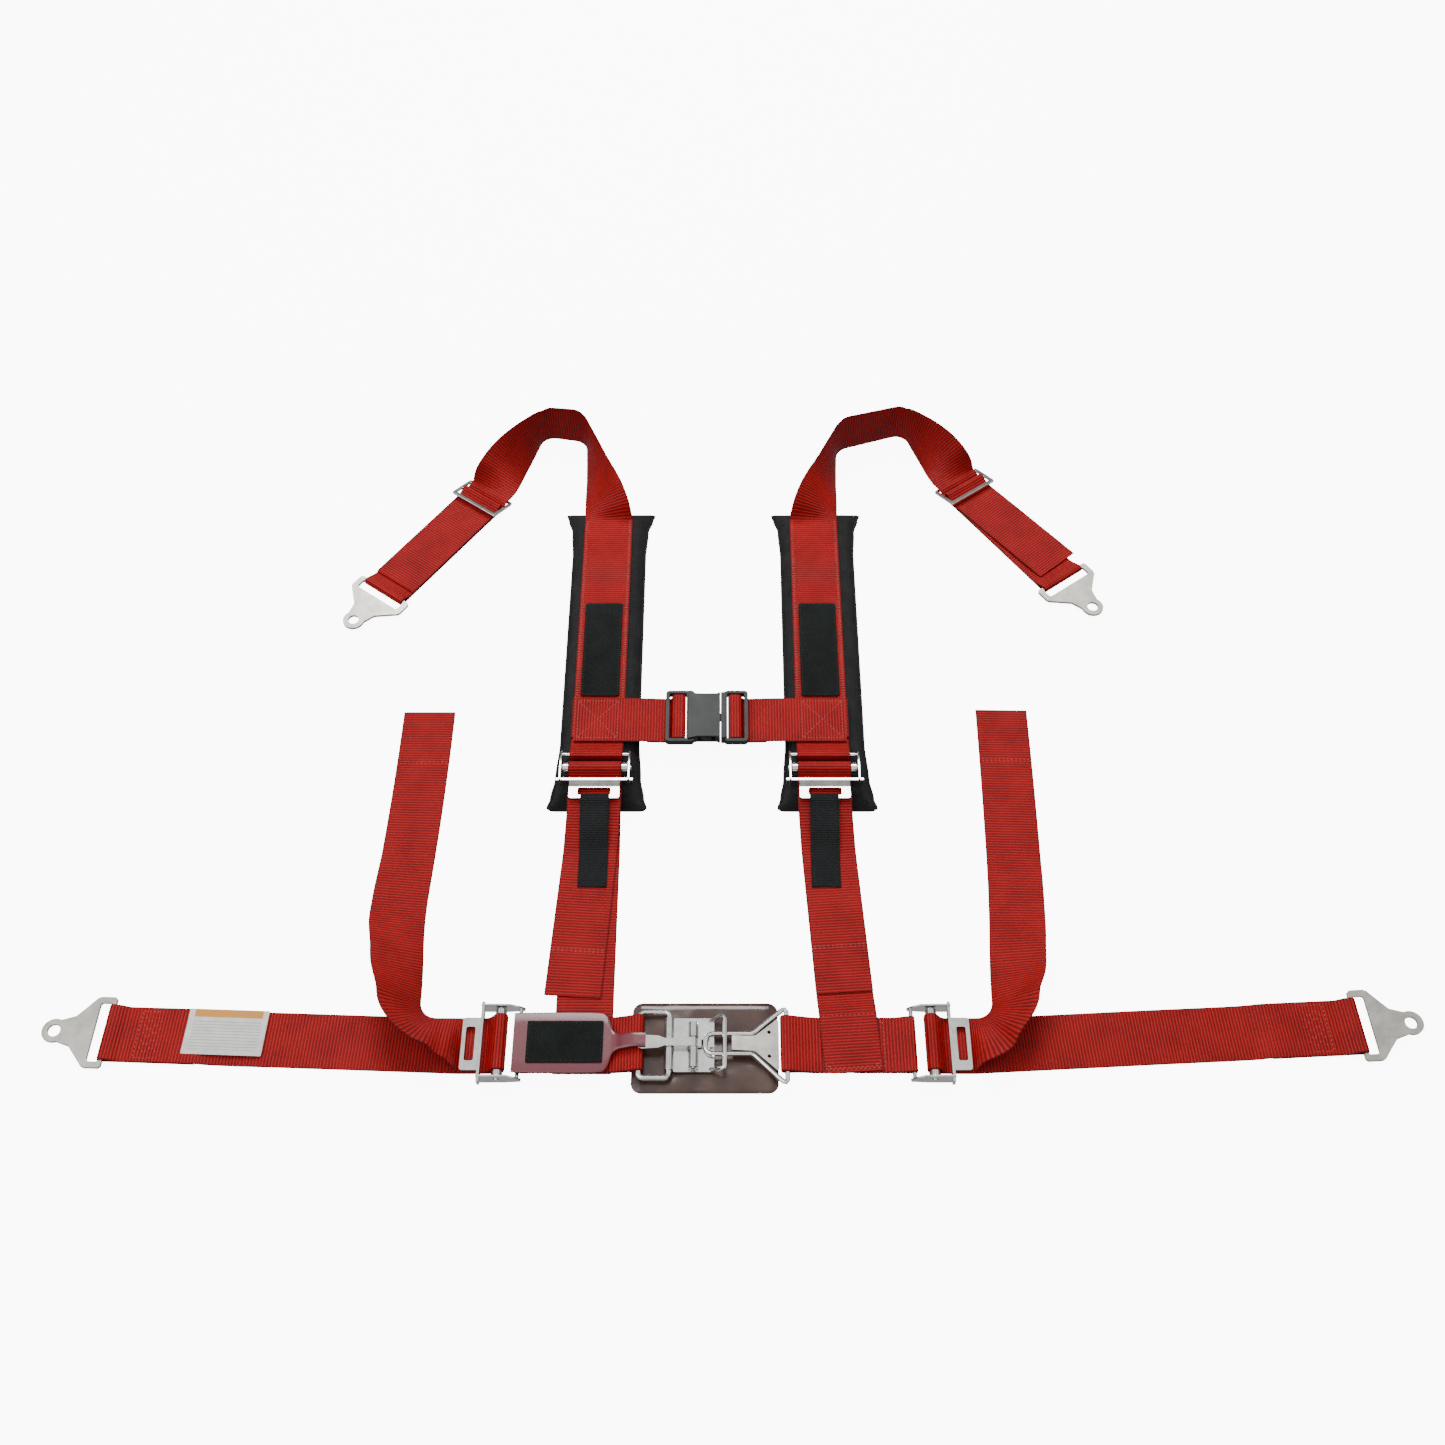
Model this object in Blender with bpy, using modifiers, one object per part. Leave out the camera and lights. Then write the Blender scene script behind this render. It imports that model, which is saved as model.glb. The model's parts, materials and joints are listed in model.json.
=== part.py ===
"""Four-point racing harness with a latch-and-link lap buckle, laid out flat.

Frame: origin under the middle of the buckle's backing pad, +X to the right-hand lap anchor,
+Y to the shoulder anchors, +Z up. Sizes below are in millimetres; MM turns them into metres.
"""

import math

import bmesh
import bpy
from mathutils import Matrix, Vector

MM = 0.001

# ---------------------------------------------------------------- driving dimensions (mm)
WEB_WIDTH = 50.8
WEB = 1.2                      # webbing thickness
GAP = 0.3                      # clearance between neighbouring pieces
FLOOR_LAYER = WEB / 2          # centre height of webbing that lies on the ground
LAYER = WEB + GAP              # rise from one layer of webbing to the next

PAD_SIZE = (127.0, 83.0, 3.0)  # backing pad behind the buckle
PAD_CORNER = 9.0

LOCK_BAR_RADIUS = 5.0          # knurled bar of a tilt-lock adjuster
LOCK_BAR_Z = 7.5
CROSS_BAR_X = 17.0             # sewn-strap bar, measured from the lock bar
CROSS_BAR_Z = 4.6
CROSS_BAR_RADIUS = 1.75
SLOT_PLATE = (-33.0, -15.5, 24.0, 5.4, 1.6)   # x from, x to, half width, z, thickness
SLOT = (-29.5, -21.5, 15.5)                   # x from, x to, half width

BELT_Y = 1.5                   # line of the lap belt
LAP = {
    "left": {"lock": (-178.0, BELT_Y), "heading": 180.0, "slant": -2.1, "length": 342.0, "turn_at": 58.0,
             "drift": ((50.0, -3.0), (62.0, 8.0), (200.0, -3.0)), "bank": (52.0, 32.0, 6.0)},
    "right": {"lock": (197.0, BELT_Y), "heading": 0.0, "slant": 3.0, "length": 373.0, "turn_at": 41.0,
              "drift": ((60.0, -3.0), (90.0, 3.0), (165.0, 1.0)), "bank": (46.0, 18.0, 4.0)},
}
SLANT_FROM = 36.0              # the outer belts leave their adjusters straight, then slant
ANCHOR_UNDERLAP = 80.0         # doubled, sewn length behind each lap anchor

SHOULDER_Y = 273.0             # lock bars of the shoulder adjusters
SHOULDER_RISE = 15.8           # the adjusters stand on the pads
SHOULDER = {
    "left": {"x": -106.0, "pad_x": -104.5, "drift": 0.0, "tail_drift": -3.5, "tail_end": 226.0,
             "rise": 114.0, "arch_turns": (78.0, 84.0), "arch_run": 22.0, "fall": 65.0, "swing": -19.6, "tail_bend": 0.0},
    "right": {"x": 112.0, "pad_x": 115.0, "drift": 3.6, "tail_drift": 3.6, "tail_end": 222.0,
              "rise": 102.0, "arch_turns": (70.0, 90.0), "arch_run": 54.0, "fall": 52.0, "swing": -17.7, "tail_bend": 4.0},
}
LOWER_STRAP_END = 297.0        # sewn end of the lower shoulder strap, from the lock bar
SHOULDER_PAD = {"low": 238.0, "high": 608.0, "half": 39.0, "ear": 48.0, "thick": 13.0}
ANCHOR_RUN = 157.0             # three-bar slide to shoulder anchor

STERNUM_Y = 332.0
CHEST_Z = 22.0                 # middle height of the chest buckle

ANCHOR = {"half": 33.0, "eye_x": 47.0, "eye_r": 11.0, "hole_r": 5.5, "thick": 3.0,
          "bar": 1.7, "slot_end": 12.0, "slot_half": 27.0}
ANCHOR_BAR_LIFT = 3.75         # height of the webbing bar's axis over the ground

RING = {"x": (-57.0, -31.0), "half": 28.6, "z": 8.0, "r": 2.4}
HINGE_X, HINGE_Z = -10.0, 11.2  # lever pin
LINK = {"tip_x": 0.3, "neck": 9.2, "flare_x": 40.0, "bar_x": 71.0, "half": 33.5, "z": 9.8, "bar_z": 6.2,
        "r": 2.3, "slack": 2.0}

# ---------------------------------------------------------------- scene set-up
for old in list(bpy.data.objects):
    bpy.data.objects.remove(old, do_unlink=True)

parts = bpy.data.collections.new("racing_harness")
tools = bpy.data.collections.new("cutters")
bpy.context.scene.collection.children.link(parts)
bpy.context.scene.collection.children.link(tools)


def material(name, colour, roughness, metallic=0.0):
    made = bpy.data.materials.new(name)
    made.use_nodes = True
    shader = made.node_tree.nodes["Principled BSDF"]
    shader.inputs["Base Color"].default_value = (*colour, 1.0)
    shader.inputs["Roughness"].default_value = roughness
    shader.inputs["Metallic"].default_value = metallic
    return made


WEBBING = ("red_webbing", (0.40, 0.016, 0.018), 0.62)
STEEL = ("chromed_steel", (0.78, 0.78, 0.76), 0.18, 1.0)
PLATE_STEEL = ("zinc_plated_steel", (0.62, 0.60, 0.55), 0.3, 1.0)
BLACK_WEB = ("black_webbing", (0.012, 0.013, 0.014), 0.75)
BLACK_FABRIC = ("black_pad_fabric", (0.014, 0.015, 0.016), 0.85)
BLACK_PLASTIC = ("black_plastic", (0.03, 0.032, 0.033), 0.42)
PAD_VINYL = ("brown_vinyl", (0.16, 0.07, 0.055), 0.22)
TAB_PLASTIC = ("pink_tinted_plastic", (0.36, 0.06, 0.09), 0.25)
LABEL_CLOTH = ("white_label_cloth", (0.75, 0.75, 0.72), 0.7)


# ---------------------------------------------------------------- small geometry helpers
def place(x, y, heading=0.0, z=0.0):
    """A local frame: +X along the heading (degrees), +Y to its left, +Z up."""
    return Matrix.Translation((x, y, z)) @ Matrix.Rotation(math.radians(heading), 4, "Z")


def arc(cx, cy, radius, start, end, count):
    """Points on an arc, angles in degrees, both ends included."""
    points = []
    for i in range(count + 1):
        a = math.radians(start + (end - start) * i / count)
        points.append((cx + radius * math.cos(a), cy + radius * math.sin(a)))
    return points


def rounded_box(x0, y0, x1, y1, radius, count=4):
    corners = ((x1 - radius, y0 + radius, -90), (x1 - radius, y1 - radius, 0),
               (x0 + radius, y1 - radius, 90), (x0 + radius, y0 + radius, 180))
    points = []
    for cx, cy, start in corners:
        points += arc(cx, cy, radius, start, start + 90, count)
    return points


def keep(obj, name, look, frame=None, collection=None):
    obj.name = name
    if look is not None:
        obj.data.materials.clear()
        obj.data.materials.append(material(f"{name}_{look[0]}", *look[1:]))
    matrix = (frame or Matrix()).copy()
    matrix.translation = matrix.translation * MM
    obj.matrix_world = matrix
    (collection or parts).objects.link(obj)
    return obj


def scaled_mesh(mesh):
    for vertex in mesh.vertices:
        vertex.co *= MM
    return mesh


def outline_curve(outline, holes, z0, z1):
    """A flat outline with holes, from z0 to z1, as a filled 2D curve."""
    curve = bpy.data.curves.new("outline", "CURVE")
    curve.dimensions = "2D"
    curve.fill_mode = "BOTH"
    curve.extrude = (z1 - z0) / 2 * MM
    for loop in [outline, *holes]:
        spline = curve.splines.new("POLY")
        spline.points.add(len(loop) - 1)
        for point, (x, y) in zip(spline.points, loop):
            point.co = (x * MM, y * MM, 0.0, 1.0)
        spline.use_cyclic_u = True
    return curve


def plate(name, look, outline, holes, z0, z1, frame=None, collection=None):
    """A flat plate as a mesh, so that it can be cut or joined."""
    curve = outline_curve(outline, holes, z0, z1)
    drawn = bpy.data.objects.new("drawn", curve)
    parts.objects.link(drawn)
    mesh = bpy.data.meshes.new_from_object(drawn.evaluated_get(bpy.context.evaluated_depsgraph_get()))
    bpy.data.objects.remove(drawn, do_unlink=True)
    shape = bmesh.new()
    shape.from_mesh(mesh)
    bmesh.ops.remove_doubles(shape, verts=shape.verts, dist=0.00001)
    bmesh.ops.translate(shape, verts=shape.verts, vec=(0, 0, (z0 + z1) / 2 * MM))
    shape.to_mesh(mesh)
    shape.free()
    return keep(bpy.data.objects.new(name, mesh), name, look, frame, collection)


def box(name, look, low, high, frame=None, collection=None):
    shape = bmesh.new()
    bmesh.ops.create_cube(shape, size=1.0)
    size = Vector(high) - Vector(low)
    middle = (Vector(high) + Vector(low)) / 2
    bmesh.ops.scale(shape, verts=shape.verts, vec=size)
    bmesh.ops.translate(shape, verts=shape.verts, vec=middle)
    mesh = bpy.data.meshes.new(name)
    shape.to_mesh(mesh)
    shape.free()
    return keep(bpy.data.objects.new(name, scaled_mesh(mesh)), name, look, frame, collection)


def bar_along_y(name, look, x, z, radius, y0, y1, frame=None, collection=None, sides=16):
    shape = bmesh.new()
    turn = Matrix.Translation((x, (y0 + y1) / 2, z)) @ Matrix.Rotation(math.radians(90), 4, "X")
    bmesh.ops.create_cone(shape, cap_ends=True, segments=sides, radius1=radius, radius2=radius,
                          depth=y1 - y0, matrix=turn)
    mesh = bpy.data.meshes.new(name)
    shape.to_mesh(mesh)
    shape.free()
    return keep(bpy.data.objects.new(name, scaled_mesh(mesh)), name, look, frame, collection)


def wire(name, look, route, radius, frame=None, collection=None, closed=True):
    """A round wire through a list of (x, y, z) points, as a mesh."""
    curve = bpy.data.curves.new(name, "CURVE")
    curve.dimensions = "3D"
    curve.bevel_depth = radius * MM
    curve.bevel_resolution = 2
    curve.use_fill_caps = True
    spline = curve.splines.new("POLY")
    spline.points.add(len(route) - 1)
    for point, co in zip(spline.points, route):
        point.co = (co[0] * MM, co[1] * MM, co[2] * MM, 1.0)
    spline.use_cyclic_u = closed
    drawn = bpy.data.objects.new("drawn", curve)
    parts.objects.link(drawn)
    mesh = bpy.data.meshes.new_from_object(drawn.evaluated_get(bpy.context.evaluated_depsgraph_get()))
    bpy.data.objects.remove(drawn, do_unlink=True)
    shape = bmesh.new()
    shape.from_mesh(mesh)
    bmesh.ops.remove_doubles(shape, verts=shape.verts, dist=0.00001)
    shape.to_mesh(mesh)
    shape.free()
    return keep(bpy.data.objects.new(name, mesh), name, look, frame, collection)


def combine(base, others, operation="UNION"):
    for other in others:
        other.hide_render = True
        other.display_type = "WIRE"
        modifier = base.modifiers.new(f"{operation.lower()}_{other.name}", "BOOLEAN")
        modifier.operation = operation
        modifier.solver = "EXACT"
        modifier.object = other
    return base


# ---------------------------------------------------------------- webbing
def flat_run(frame, path, half=WEB_WIDTH / 2, bend_at=1e6, bend=0.0):
    """Stations of a strap whose middle follows (distance, height) points along a frame's +X."""
    stations = []
    turn = math.radians(bend)
    for u, z, *own in path:
        beyond = max(u - bend_at, 0.0)
        centre = Vector((u - beyond + beyond * math.cos(turn), beyond * math.sin(turn), z))
        angle = turn * min(max((u - bend_at) / 20.0, 0.0), 1.0)
        side = Vector((-math.sin(angle), math.cos(angle), 0.0)) * (own[0] if own else half)
        stations.append((frame @ centre, frame.to_3x3() @ side))
    return stations


def walk(start, heading, moves, step=9.0):
    """Plan points and headings: each move is (length, turn in degrees) on an arc or a straight."""
    x, y = start
    plan = [(x, y, heading)]
    for length, turn in moves:
        count = max(1, round(length / step), round(abs(turn) / 12.0))
        for _ in range(count):
            heading += turn / count / 2
            x += length / count * math.cos(math.radians(heading))
            y += length / count * math.sin(math.radians(heading))
            heading += turn / count / 2
            plan.append((x, y, heading))
    return plan


def travelled(plan):
    distance = 0.0
    out = [0.0]
    for (x0, y0, _), (x1, y1, _) in zip(plan, plan[1:]):
        distance += math.hypot(x1 - x0, y1 - y0)
        out.append(distance)
    return out


def eased(keys, s):
    """A smooth value at s through (place, value) keys."""
    if s <= keys[0][0]:
        return keys[0][1]
    for (s0, v0), (s1, v1) in zip(keys, keys[1:]):
        if s <= s1:
            t = (s - s0) / (s1 - s0)
            return v0 + (v1 - v0) * t * t * (3 - 2 * t)
    return keys[-1][1]


def banked_run(frame, plan, inner_side, bank_at, height_keys):
    """Stations of a strap that rises on its inner edge as it turns.

    The plan is the inner edge; inner_side is +1 where that edge is on the left.
    """
    stations = []
    for (x, y, heading), s in zip(plan, travelled(plan)):
        bank = math.radians(bank_at(s))
        h = math.radians(heading)
        left = Vector((-math.sin(h), math.cos(h), 0.0))
        side = (left * math.cos(bank) - Vector((0, 0, inner_side * math.sin(bank)))) * WEB_WIDTH / 2
        centre = Vector((x, y, eased(height_keys, s))) - side * inner_side
        stations.append((frame @ centre, frame.to_3x3() @ side))
    return stations


def ribbon(name, look, stations, thickness=WEB):
    """A strip of webbing through (centre, half-width vector) stations."""
    count = len(stations)
    strip = bmesh.new()
    bmesh.ops.create_grid(strip, x_segments=1, y_segments=count - 1, size=1.0)
    for vertex in strip.verts:
        centre, side = stations[round((vertex.co.y + 1) / 2 * (count - 1))]
        vertex.co = (centre + side * vertex.co.x) * MM
    mesh = bpy.data.meshes.new(name)
    strip.to_mesh(mesh)
    strip.free()
    obj = keep(bpy.data.objects.new(name, mesh), name, look)
    solid = obj.modifiers.new("thickness", "SOLIDIFY")
    solid.thickness = thickness * MM
    solid.offset = 0.0
    return obj


# ---------------------------------------------------------------- tilt-lock adjusters
def adjuster(name, frame):
    """Frame local +X points to the sewn-strap bar, and the slot plate is on the other side."""
    flange_outline = [(-17, 3.0), (-14, 0.8), (6, 0.8), (20, 2.6), (21, 6.0), (17, 10.0), (9, 14.8),
                      (-4, 15.6), (-17, 15.6)]
    flange_frame = Matrix.Rotation(math.radians(90), 4, "X")
    hole = arc(0.0, LOCK_BAR_Z, 2.9, 0, 340, 17)
    flanges = []
    for side, y in (("left", 33.3), ("right", -31.7)):
        at = frame @ Matrix.Translation((0, y, 0)) @ flange_frame
        flanges.append(plate(f"{name}_{side}_flange", None, flange_outline, [hole], 0.0, 1.6, at, tools))
    x0, x1, half, z, thick = SLOT_PLATE
    slot_x0, slot_x1, slot_half = SLOT
    slot_plate = plate(f"{name}_slot_plate", None, rounded_box(x0, -half, x1, half, 2.0, 2),
                       [rounded_box(slot_x0, -slot_half, slot_x1, slot_half, 1.5, 2)],
                       z, z + thick, frame, tools)
    cross_bar = bar_along_y(f"{name}_cross_bar", None, CROSS_BAR_X, CROSS_BAR_Z, CROSS_BAR_RADIUS,
                            -32.5, 32.5, frame, tools, 12)
    face = box(name, STEEL, (-16.8, -36.5, 4.2), (-14.4, 36.5, 13.0), frame)
    return combine(face, [*flanges, slot_plate, cross_bar])


def lock_bar(name, frame):
    """A turned bar: knurled middle, thinner ends in the flange holes."""
    profile = [(0.0, 34.4), (2.6, 34.4), (2.6, 31.2), (LOCK_BAR_RADIUS, 30.6),
               (LOCK_BAR_RADIUS, -30.6), (2.6, -31.2), (2.6, -34.4), (0.0, -34.4)]
    mesh = bpy.data.meshes.new(name)
    mesh.from_pydata([(r * MM, 0.0, y * MM) for r, y in profile],
                     [(i, i + 1) for i in range(len(profile) - 1)], [])
    at = frame @ Matrix.Translation((0, 0, LOCK_BAR_Z)) @ Matrix.Rotation(math.radians(90), 4, "X")
    bar = keep(bpy.data.objects.new(name, mesh), name, STEEL, at)
    screw = bar.modifiers.new("turned", "SCREW")
    screw.steps = 16
    screw.render_steps = 16
    screw.merge_threshold = 0.00001
    screw.use_merge_vertices = True
    return bar


def around_lock_bar(rise):
    """Webbing comes in low, wraps the lock bar and leaves as a second layer above itself."""
    wrap = LOCK_BAR_RADIUS + GAP + WEB / 2
    z = rise + LOCK_BAR_Z
    low = rise + FLOOR_LAYER
    path = [(30.0, low), (10.0, low + 0.2)]
    path += arc(0.0, z, wrap, 270, 35, 14)
    path += [(9.4, z - 3.2), (12.4, low + LAYER + 0.5), (15.5, low + LAYER), (31.0, low + LAYER)]
    return path


# ---------------------------------------------------------------- lap belts
def lap_belt(side):
    """One piece of webbing: sewn around the anchor, through the adjuster, and out as the tail."""
    spec = LAP[side]
    turn = 1.0 if side == "right" else -1.0
    frame = place(*spec["lock"], spec["heading"])
    length = spec["length"]
    radius = 3.15
    path = [(length - ANCHOR_UNDERLAP, FLOOR_LAYER), (length - 12, FLOOR_LAYER)]
    path += arc(length, ANCHOR_BAR_LIFT, radius, -90, 90, 8)
    path += [(length - 6, ANCHOR_BAR_LIFT + 2.2), (length - 14, FLOOR_LAYER + LAYER + 0.1),
             (length - 20, FLOOR_LAYER + LAYER), (length - ANCHOR_UNDERLAP - 3, FLOOR_LAYER + LAYER),
             (length - ANCHOR_UNDERLAP - 12, FLOOR_LAYER), (length / 2, FLOOR_LAYER),
             (SLANT_FROM + 20, FLOOR_LAYER), (SLANT_FROM, FLOOR_LAYER)]
    path += around_lock_bar(0.0)
    stations = flat_run(frame, path, bend_at=SLANT_FROM, bend=spec["slant"])
    plan = walk((34.0, turn * WEB_WIDTH / 2), 0.0,
                [(spec["turn_at"] - 34.0, 0.0), (22.0, turn * 88.0),
                 *[(run, turn * angle) for run, angle in spec["drift"]]])
    corner = spec["turn_at"] - 34.0 + 11.0
    high, middle, low = spec["bank"]
    banks = [(0, 0), (11, 28), (corner, high), (corner + 55, middle), (corner + 115, low), (corner + 165, 0)]
    heights = [(0, FLOOR_LAYER + LAYER + 0.2), (corner + 8, FLOOR_LAYER + LAYER + 0.6), (corner + 40, 1.0),
               (corner + 120, FLOOR_LAYER)]
    stations += banked_run(frame, plan, turn, lambda s: eased(banks, s), heights)
    ribbon(f"lap_strap_{side}", WEBBING, stations)
    adjuster_frame = frame @ Matrix.Rotation(math.pi, 4, "Z")
    adjuster(f"lap_adjuster_frame_{side}", adjuster_frame)
    lock_bar(f"lap_adjuster_bar_{side}", adjuster_frame)
    anchor(f"lap_anchor_{side}", slanted(frame, spec) @ Matrix.Translation((length, 0, 0)),
           ANCHOR_BAR_LIFT)


def slanted(frame, spec):
    """The frame whose +X lies along the outer, slanted part of a lap belt."""
    pivot = Matrix.Translation((SLANT_FROM, 0, 0))
    return frame @ pivot @ Matrix.Rotation(math.radians(spec["slant"]), 4, "Z") @ pivot.inverted()


def anchor(name, frame, bar_z):
    """A bolt-in plate: webbing bar and slot at the wide end, one eye at the tip."""
    half, eye_x, eye_r = ANCHOR["half"], ANCHOR["eye_x"], ANCHOR["eye_r"]
    bar = ANCHOR["bar"]
    outline = [(-bar, -half + 2), (0.5, -half), (13.0, -half), (16.0, -half + 1.5), (24.0, -22.0),
               (31.0, -14.0)]
    outline += arc(eye_x, 0.0, eye_r, -112, 112, 14)
    outline += [(31.0, 14.0), (24.0, 22.0), (16.0, half - 1.5), (13.0, half), (0.5, half),
                (-bar, half - 2)]
    slot = rounded_box(bar, -ANCHOR["slot_half"], ANCHOR["slot_end"], ANCHOR["slot_half"], 2.0, 2)
    eye = arc(eye_x, 0.0, ANCHOR["hole_r"], 0, 340, 17)
    z0 = bar_z - ANCHOR["thick"] / 2
    return plate(name, PLATE_STEEL, outline, [slot, eye], z0, z0 + ANCHOR["thick"], frame)


# ---------------------------------------------------------------- lap buckle
def inner_strap(name, inner_x, inner_z, inner_radius, outer_x, slack=0.0):
    """A sewn loop of webbing between the buckle's bar and an adjuster's cross bar."""
    outer_z, outer_radius, y = CROSS_BAR_Z, CROSS_BAR_RADIUS, BELT_Y
    away = math.copysign(1.0, outer_x - inner_x)
    frame = place(0.0, y) if away > 0 else place(0.0, y, 180.0)
    a, b = abs(inner_x), abs(outer_x)
    ra, rb = inner_radius + GAP + WEB / 2, outer_radius + GAP + WEB / 2
    low, high = FLOOR_LAYER + LAYER, FLOOR_LAYER + 2 * LAYER
    middle = (a + b) / 2
    path = [(middle + 3, low), (b - 12, low)]
    path += [(b - 5, outer_z - rb + 0.05)]
    path += arc(b, outer_z, rb, -90, 90, 8)
    path += [(b - 6, outer_z + rb - 1.2), (b - 14, high + 0.2), (b - 20, high), (a + 26, high),
             (a + 12, (high + inner_z + ra) / 2), (a + 0.5, inner_z + ra)]
    path += arc(a - slack, inner_z, ra, 90, 270, 10)
    path += [(a, inner_z - ra), (a + 10, (low + inner_z - ra) / 2 + 0.9), (a + 23, low), (middle - 3, low)]
    return ribbon(name, WEBBING, flat_run(frame, path))


def backing_pad():
    length, width, thick = PAD_SIZE
    outline = rounded_box(-length / 2, -width / 2, length / 2, width / 2, PAD_CORNER, 5)
    return plate("backing_pad", PAD_VINYL, outline, [], 0.0, thick)


def webbing_ring():
    (x0, x1), half, z = RING["x"], RING["half"], RING["z"]
    route = [(x, y, z) for x, y in rounded_box(x0, -half - 1.5, x1, half + 1.5, 4.0, 3)]
    return wire("webbing_ring", STEEL, route, RING["r"])


def tube_on_y(name, x, z, outer, y0, y1):
    return bar_along_y(name, None, x, z, outer, y0, y1, None, tools, 20)


def latch_base():
    deck = plate("latch_base", STEEL, rounded_box(-27.5, -24.5, 8.0, 24.5, 1.5, 2),
                 [rounded_box(-15.0, -4.0, 0.5, 4.8, 0.8, 1)], 4.9, 7.1)
    pieces = [
        tube_on_y("barrel_upper", RING["x"][1], RING["z"], 4.3, 3.6, 23.5),
        tube_on_y("barrel_lower", RING["x"][1], RING["z"], 4.3, -23.5, -3.6),
        tube_on_y("knuckle_upper", HINGE_X, HINGE_Z, 4.4, 5.2, 18.5),
        tube_on_y("knuckle_lower", HINGE_X, HINGE_Z, 4.4, -22.5, -4.4),
    ]
    arm = [(4.6, 22.1, 5.8), (9.0, 23.4, 9.0), (13.5, 24.2, 13.0), (16.8, 23.2, 14.8), (17.2, 20.5, 15.0)]
    keeper = arm + [(x, -y, z) for x, y, z in reversed(arm)]
    pieces.append(wire("keeper", None, keeper, 2.1, None, tools, False))
    pieces.append(box("hook_post", None, (4.0, -4.5, 6.5), (7.6, 4.5, 13.2), None, tools))
    combine(deck, pieces)
    bores = [
        bar_along_y("ring_bore", None, RING["x"][1], RING["z"], RING["r"] + GAP, -26, 26, None, tools, 16),
        bar_along_y("pin_bore", None, HINGE_X, HINGE_Z, 2.3, -24, 20, None, tools, 16),
    ]
    return combine(deck, bores, "DIFFERENCE")


def lever():
    """Middle knuckle, neck between the barrels, and a tail that carries the release tab."""
    outline = [(-10.0, -3.6), (-10.0, 4.4), (-14.0, 4.4), (-22.0, 3.2), (-34.0, 3.2), (-40.0, 5.5)]
    outline += arc(-53.0, 0.0, 6.5, 100, 260, 8)
    outline += [(-40.0, -5.5), (-34.0, -3.2), (-22.0, -3.2), (-14.0, -3.6)]
    hole = arc(-53.5, 0.0, 2.2, 0, 330, 11)
    arm = plate("latch_lever", STEEL, outline, [hole], 12.8, 14.8)
    knuckle = tube_on_y("lever_knuckle", HINGE_X, HINGE_Z, 3.8, -3.8, 4.6)
    cam = box("lever_cam", None, (HINGE_X + 1.5, -3.2, 9.3), (HINGE_X + 7.0, 4.0, 12.3), None, tools)
    combine(arm, [knuckle, cam])
    bore = bar_along_y("lever_bore", None, HINGE_X, HINGE_Z, 2.3, -6, 7, None, tools, 16)
    return combine(arm, [bore], "DIFFERENCE")


def link():
    """A bent wire loop: narrow tongue under the keeper, wide end for the webbing."""
    tip, neck, flare, bar_x = LINK["tip_x"], LINK["neck"], LINK["flare_x"], LINK["bar_x"]
    half, z, bar_z = LINK["half"], LINK["z"], LINK["bar_z"]
    upper = [(x, y, z) for x, y in arc(tip + 7.0, neck - 7.0, 7.0, 180, 90, 4)]
    upper += [(flare, neck, z), (flare + 3, neck + 1.5, z - 0.2), (bar_x - 7, half - 3.5, bar_z + 0.3),
              (bar_x - 3.5, half - 0.8, bar_z), (bar_x - 1.5, half - 0.2, bar_z),
              (bar_x, half - 2.5, bar_z)]
    lower = [(x, -y, height) for x, y, height in reversed(upper)]
    wire("link_ring", STEEL, upper + lower, LINK["r"])
    tilt = math.atan2(z - bar_z, bar_x - flare)
    inside = LINK["r"] + GAP
    outline = [(0.0, -neck + inside), (4.0, -neck + inside - 1.0), (23.0, -half + 7.0 + inside),
               (24.0, -half + 9.5 + inside), (24.0, half - 9.5 - inside), (23.0, half - 7.0 - inside),
               (4.0, neck - inside + 1.0), (0.0, neck - inside), (-17.0, neck - inside),
               (-17.0, -neck + inside)]
    holes = [arc(15.5, y, 1.6, 0, 330, 11) for y in (-11.0, 11.0)]
    at = Matrix.Translation((flare, 0, z)) @ Matrix.Rotation(tilt, 4, "Y")
    plate("link_plate", PLATE_STEEL, outline, holes, -1.0, 1.0, at)


def release_tab():
    """A flexible pull tab that rides on the lever's tail."""
    path = [(51.0, 15.8, 6.5), (62.0, 15.8, 6.5), (70.0, 13.4, 7.0), (77.0, 10.2, 8.0), (80.5, 9.5, 12.0),
            (83.0, 9.4, 21.0), (87.0, 9.4, 26.0), (92.0, 9.4, 27.2), (166.0, 9.4, 27.2)]
    ribbon("release_tab", TAB_PLASTIC, flat_run(place(0, BELT_Y, 180.0), path), 1.4)
    plate("release_tab_patch", BLACK_FABRIC, rounded_box(-154.0, -17.5, -88.0, 20.5, 1.5, 2), [],
          10.4, 11.6)


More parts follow.
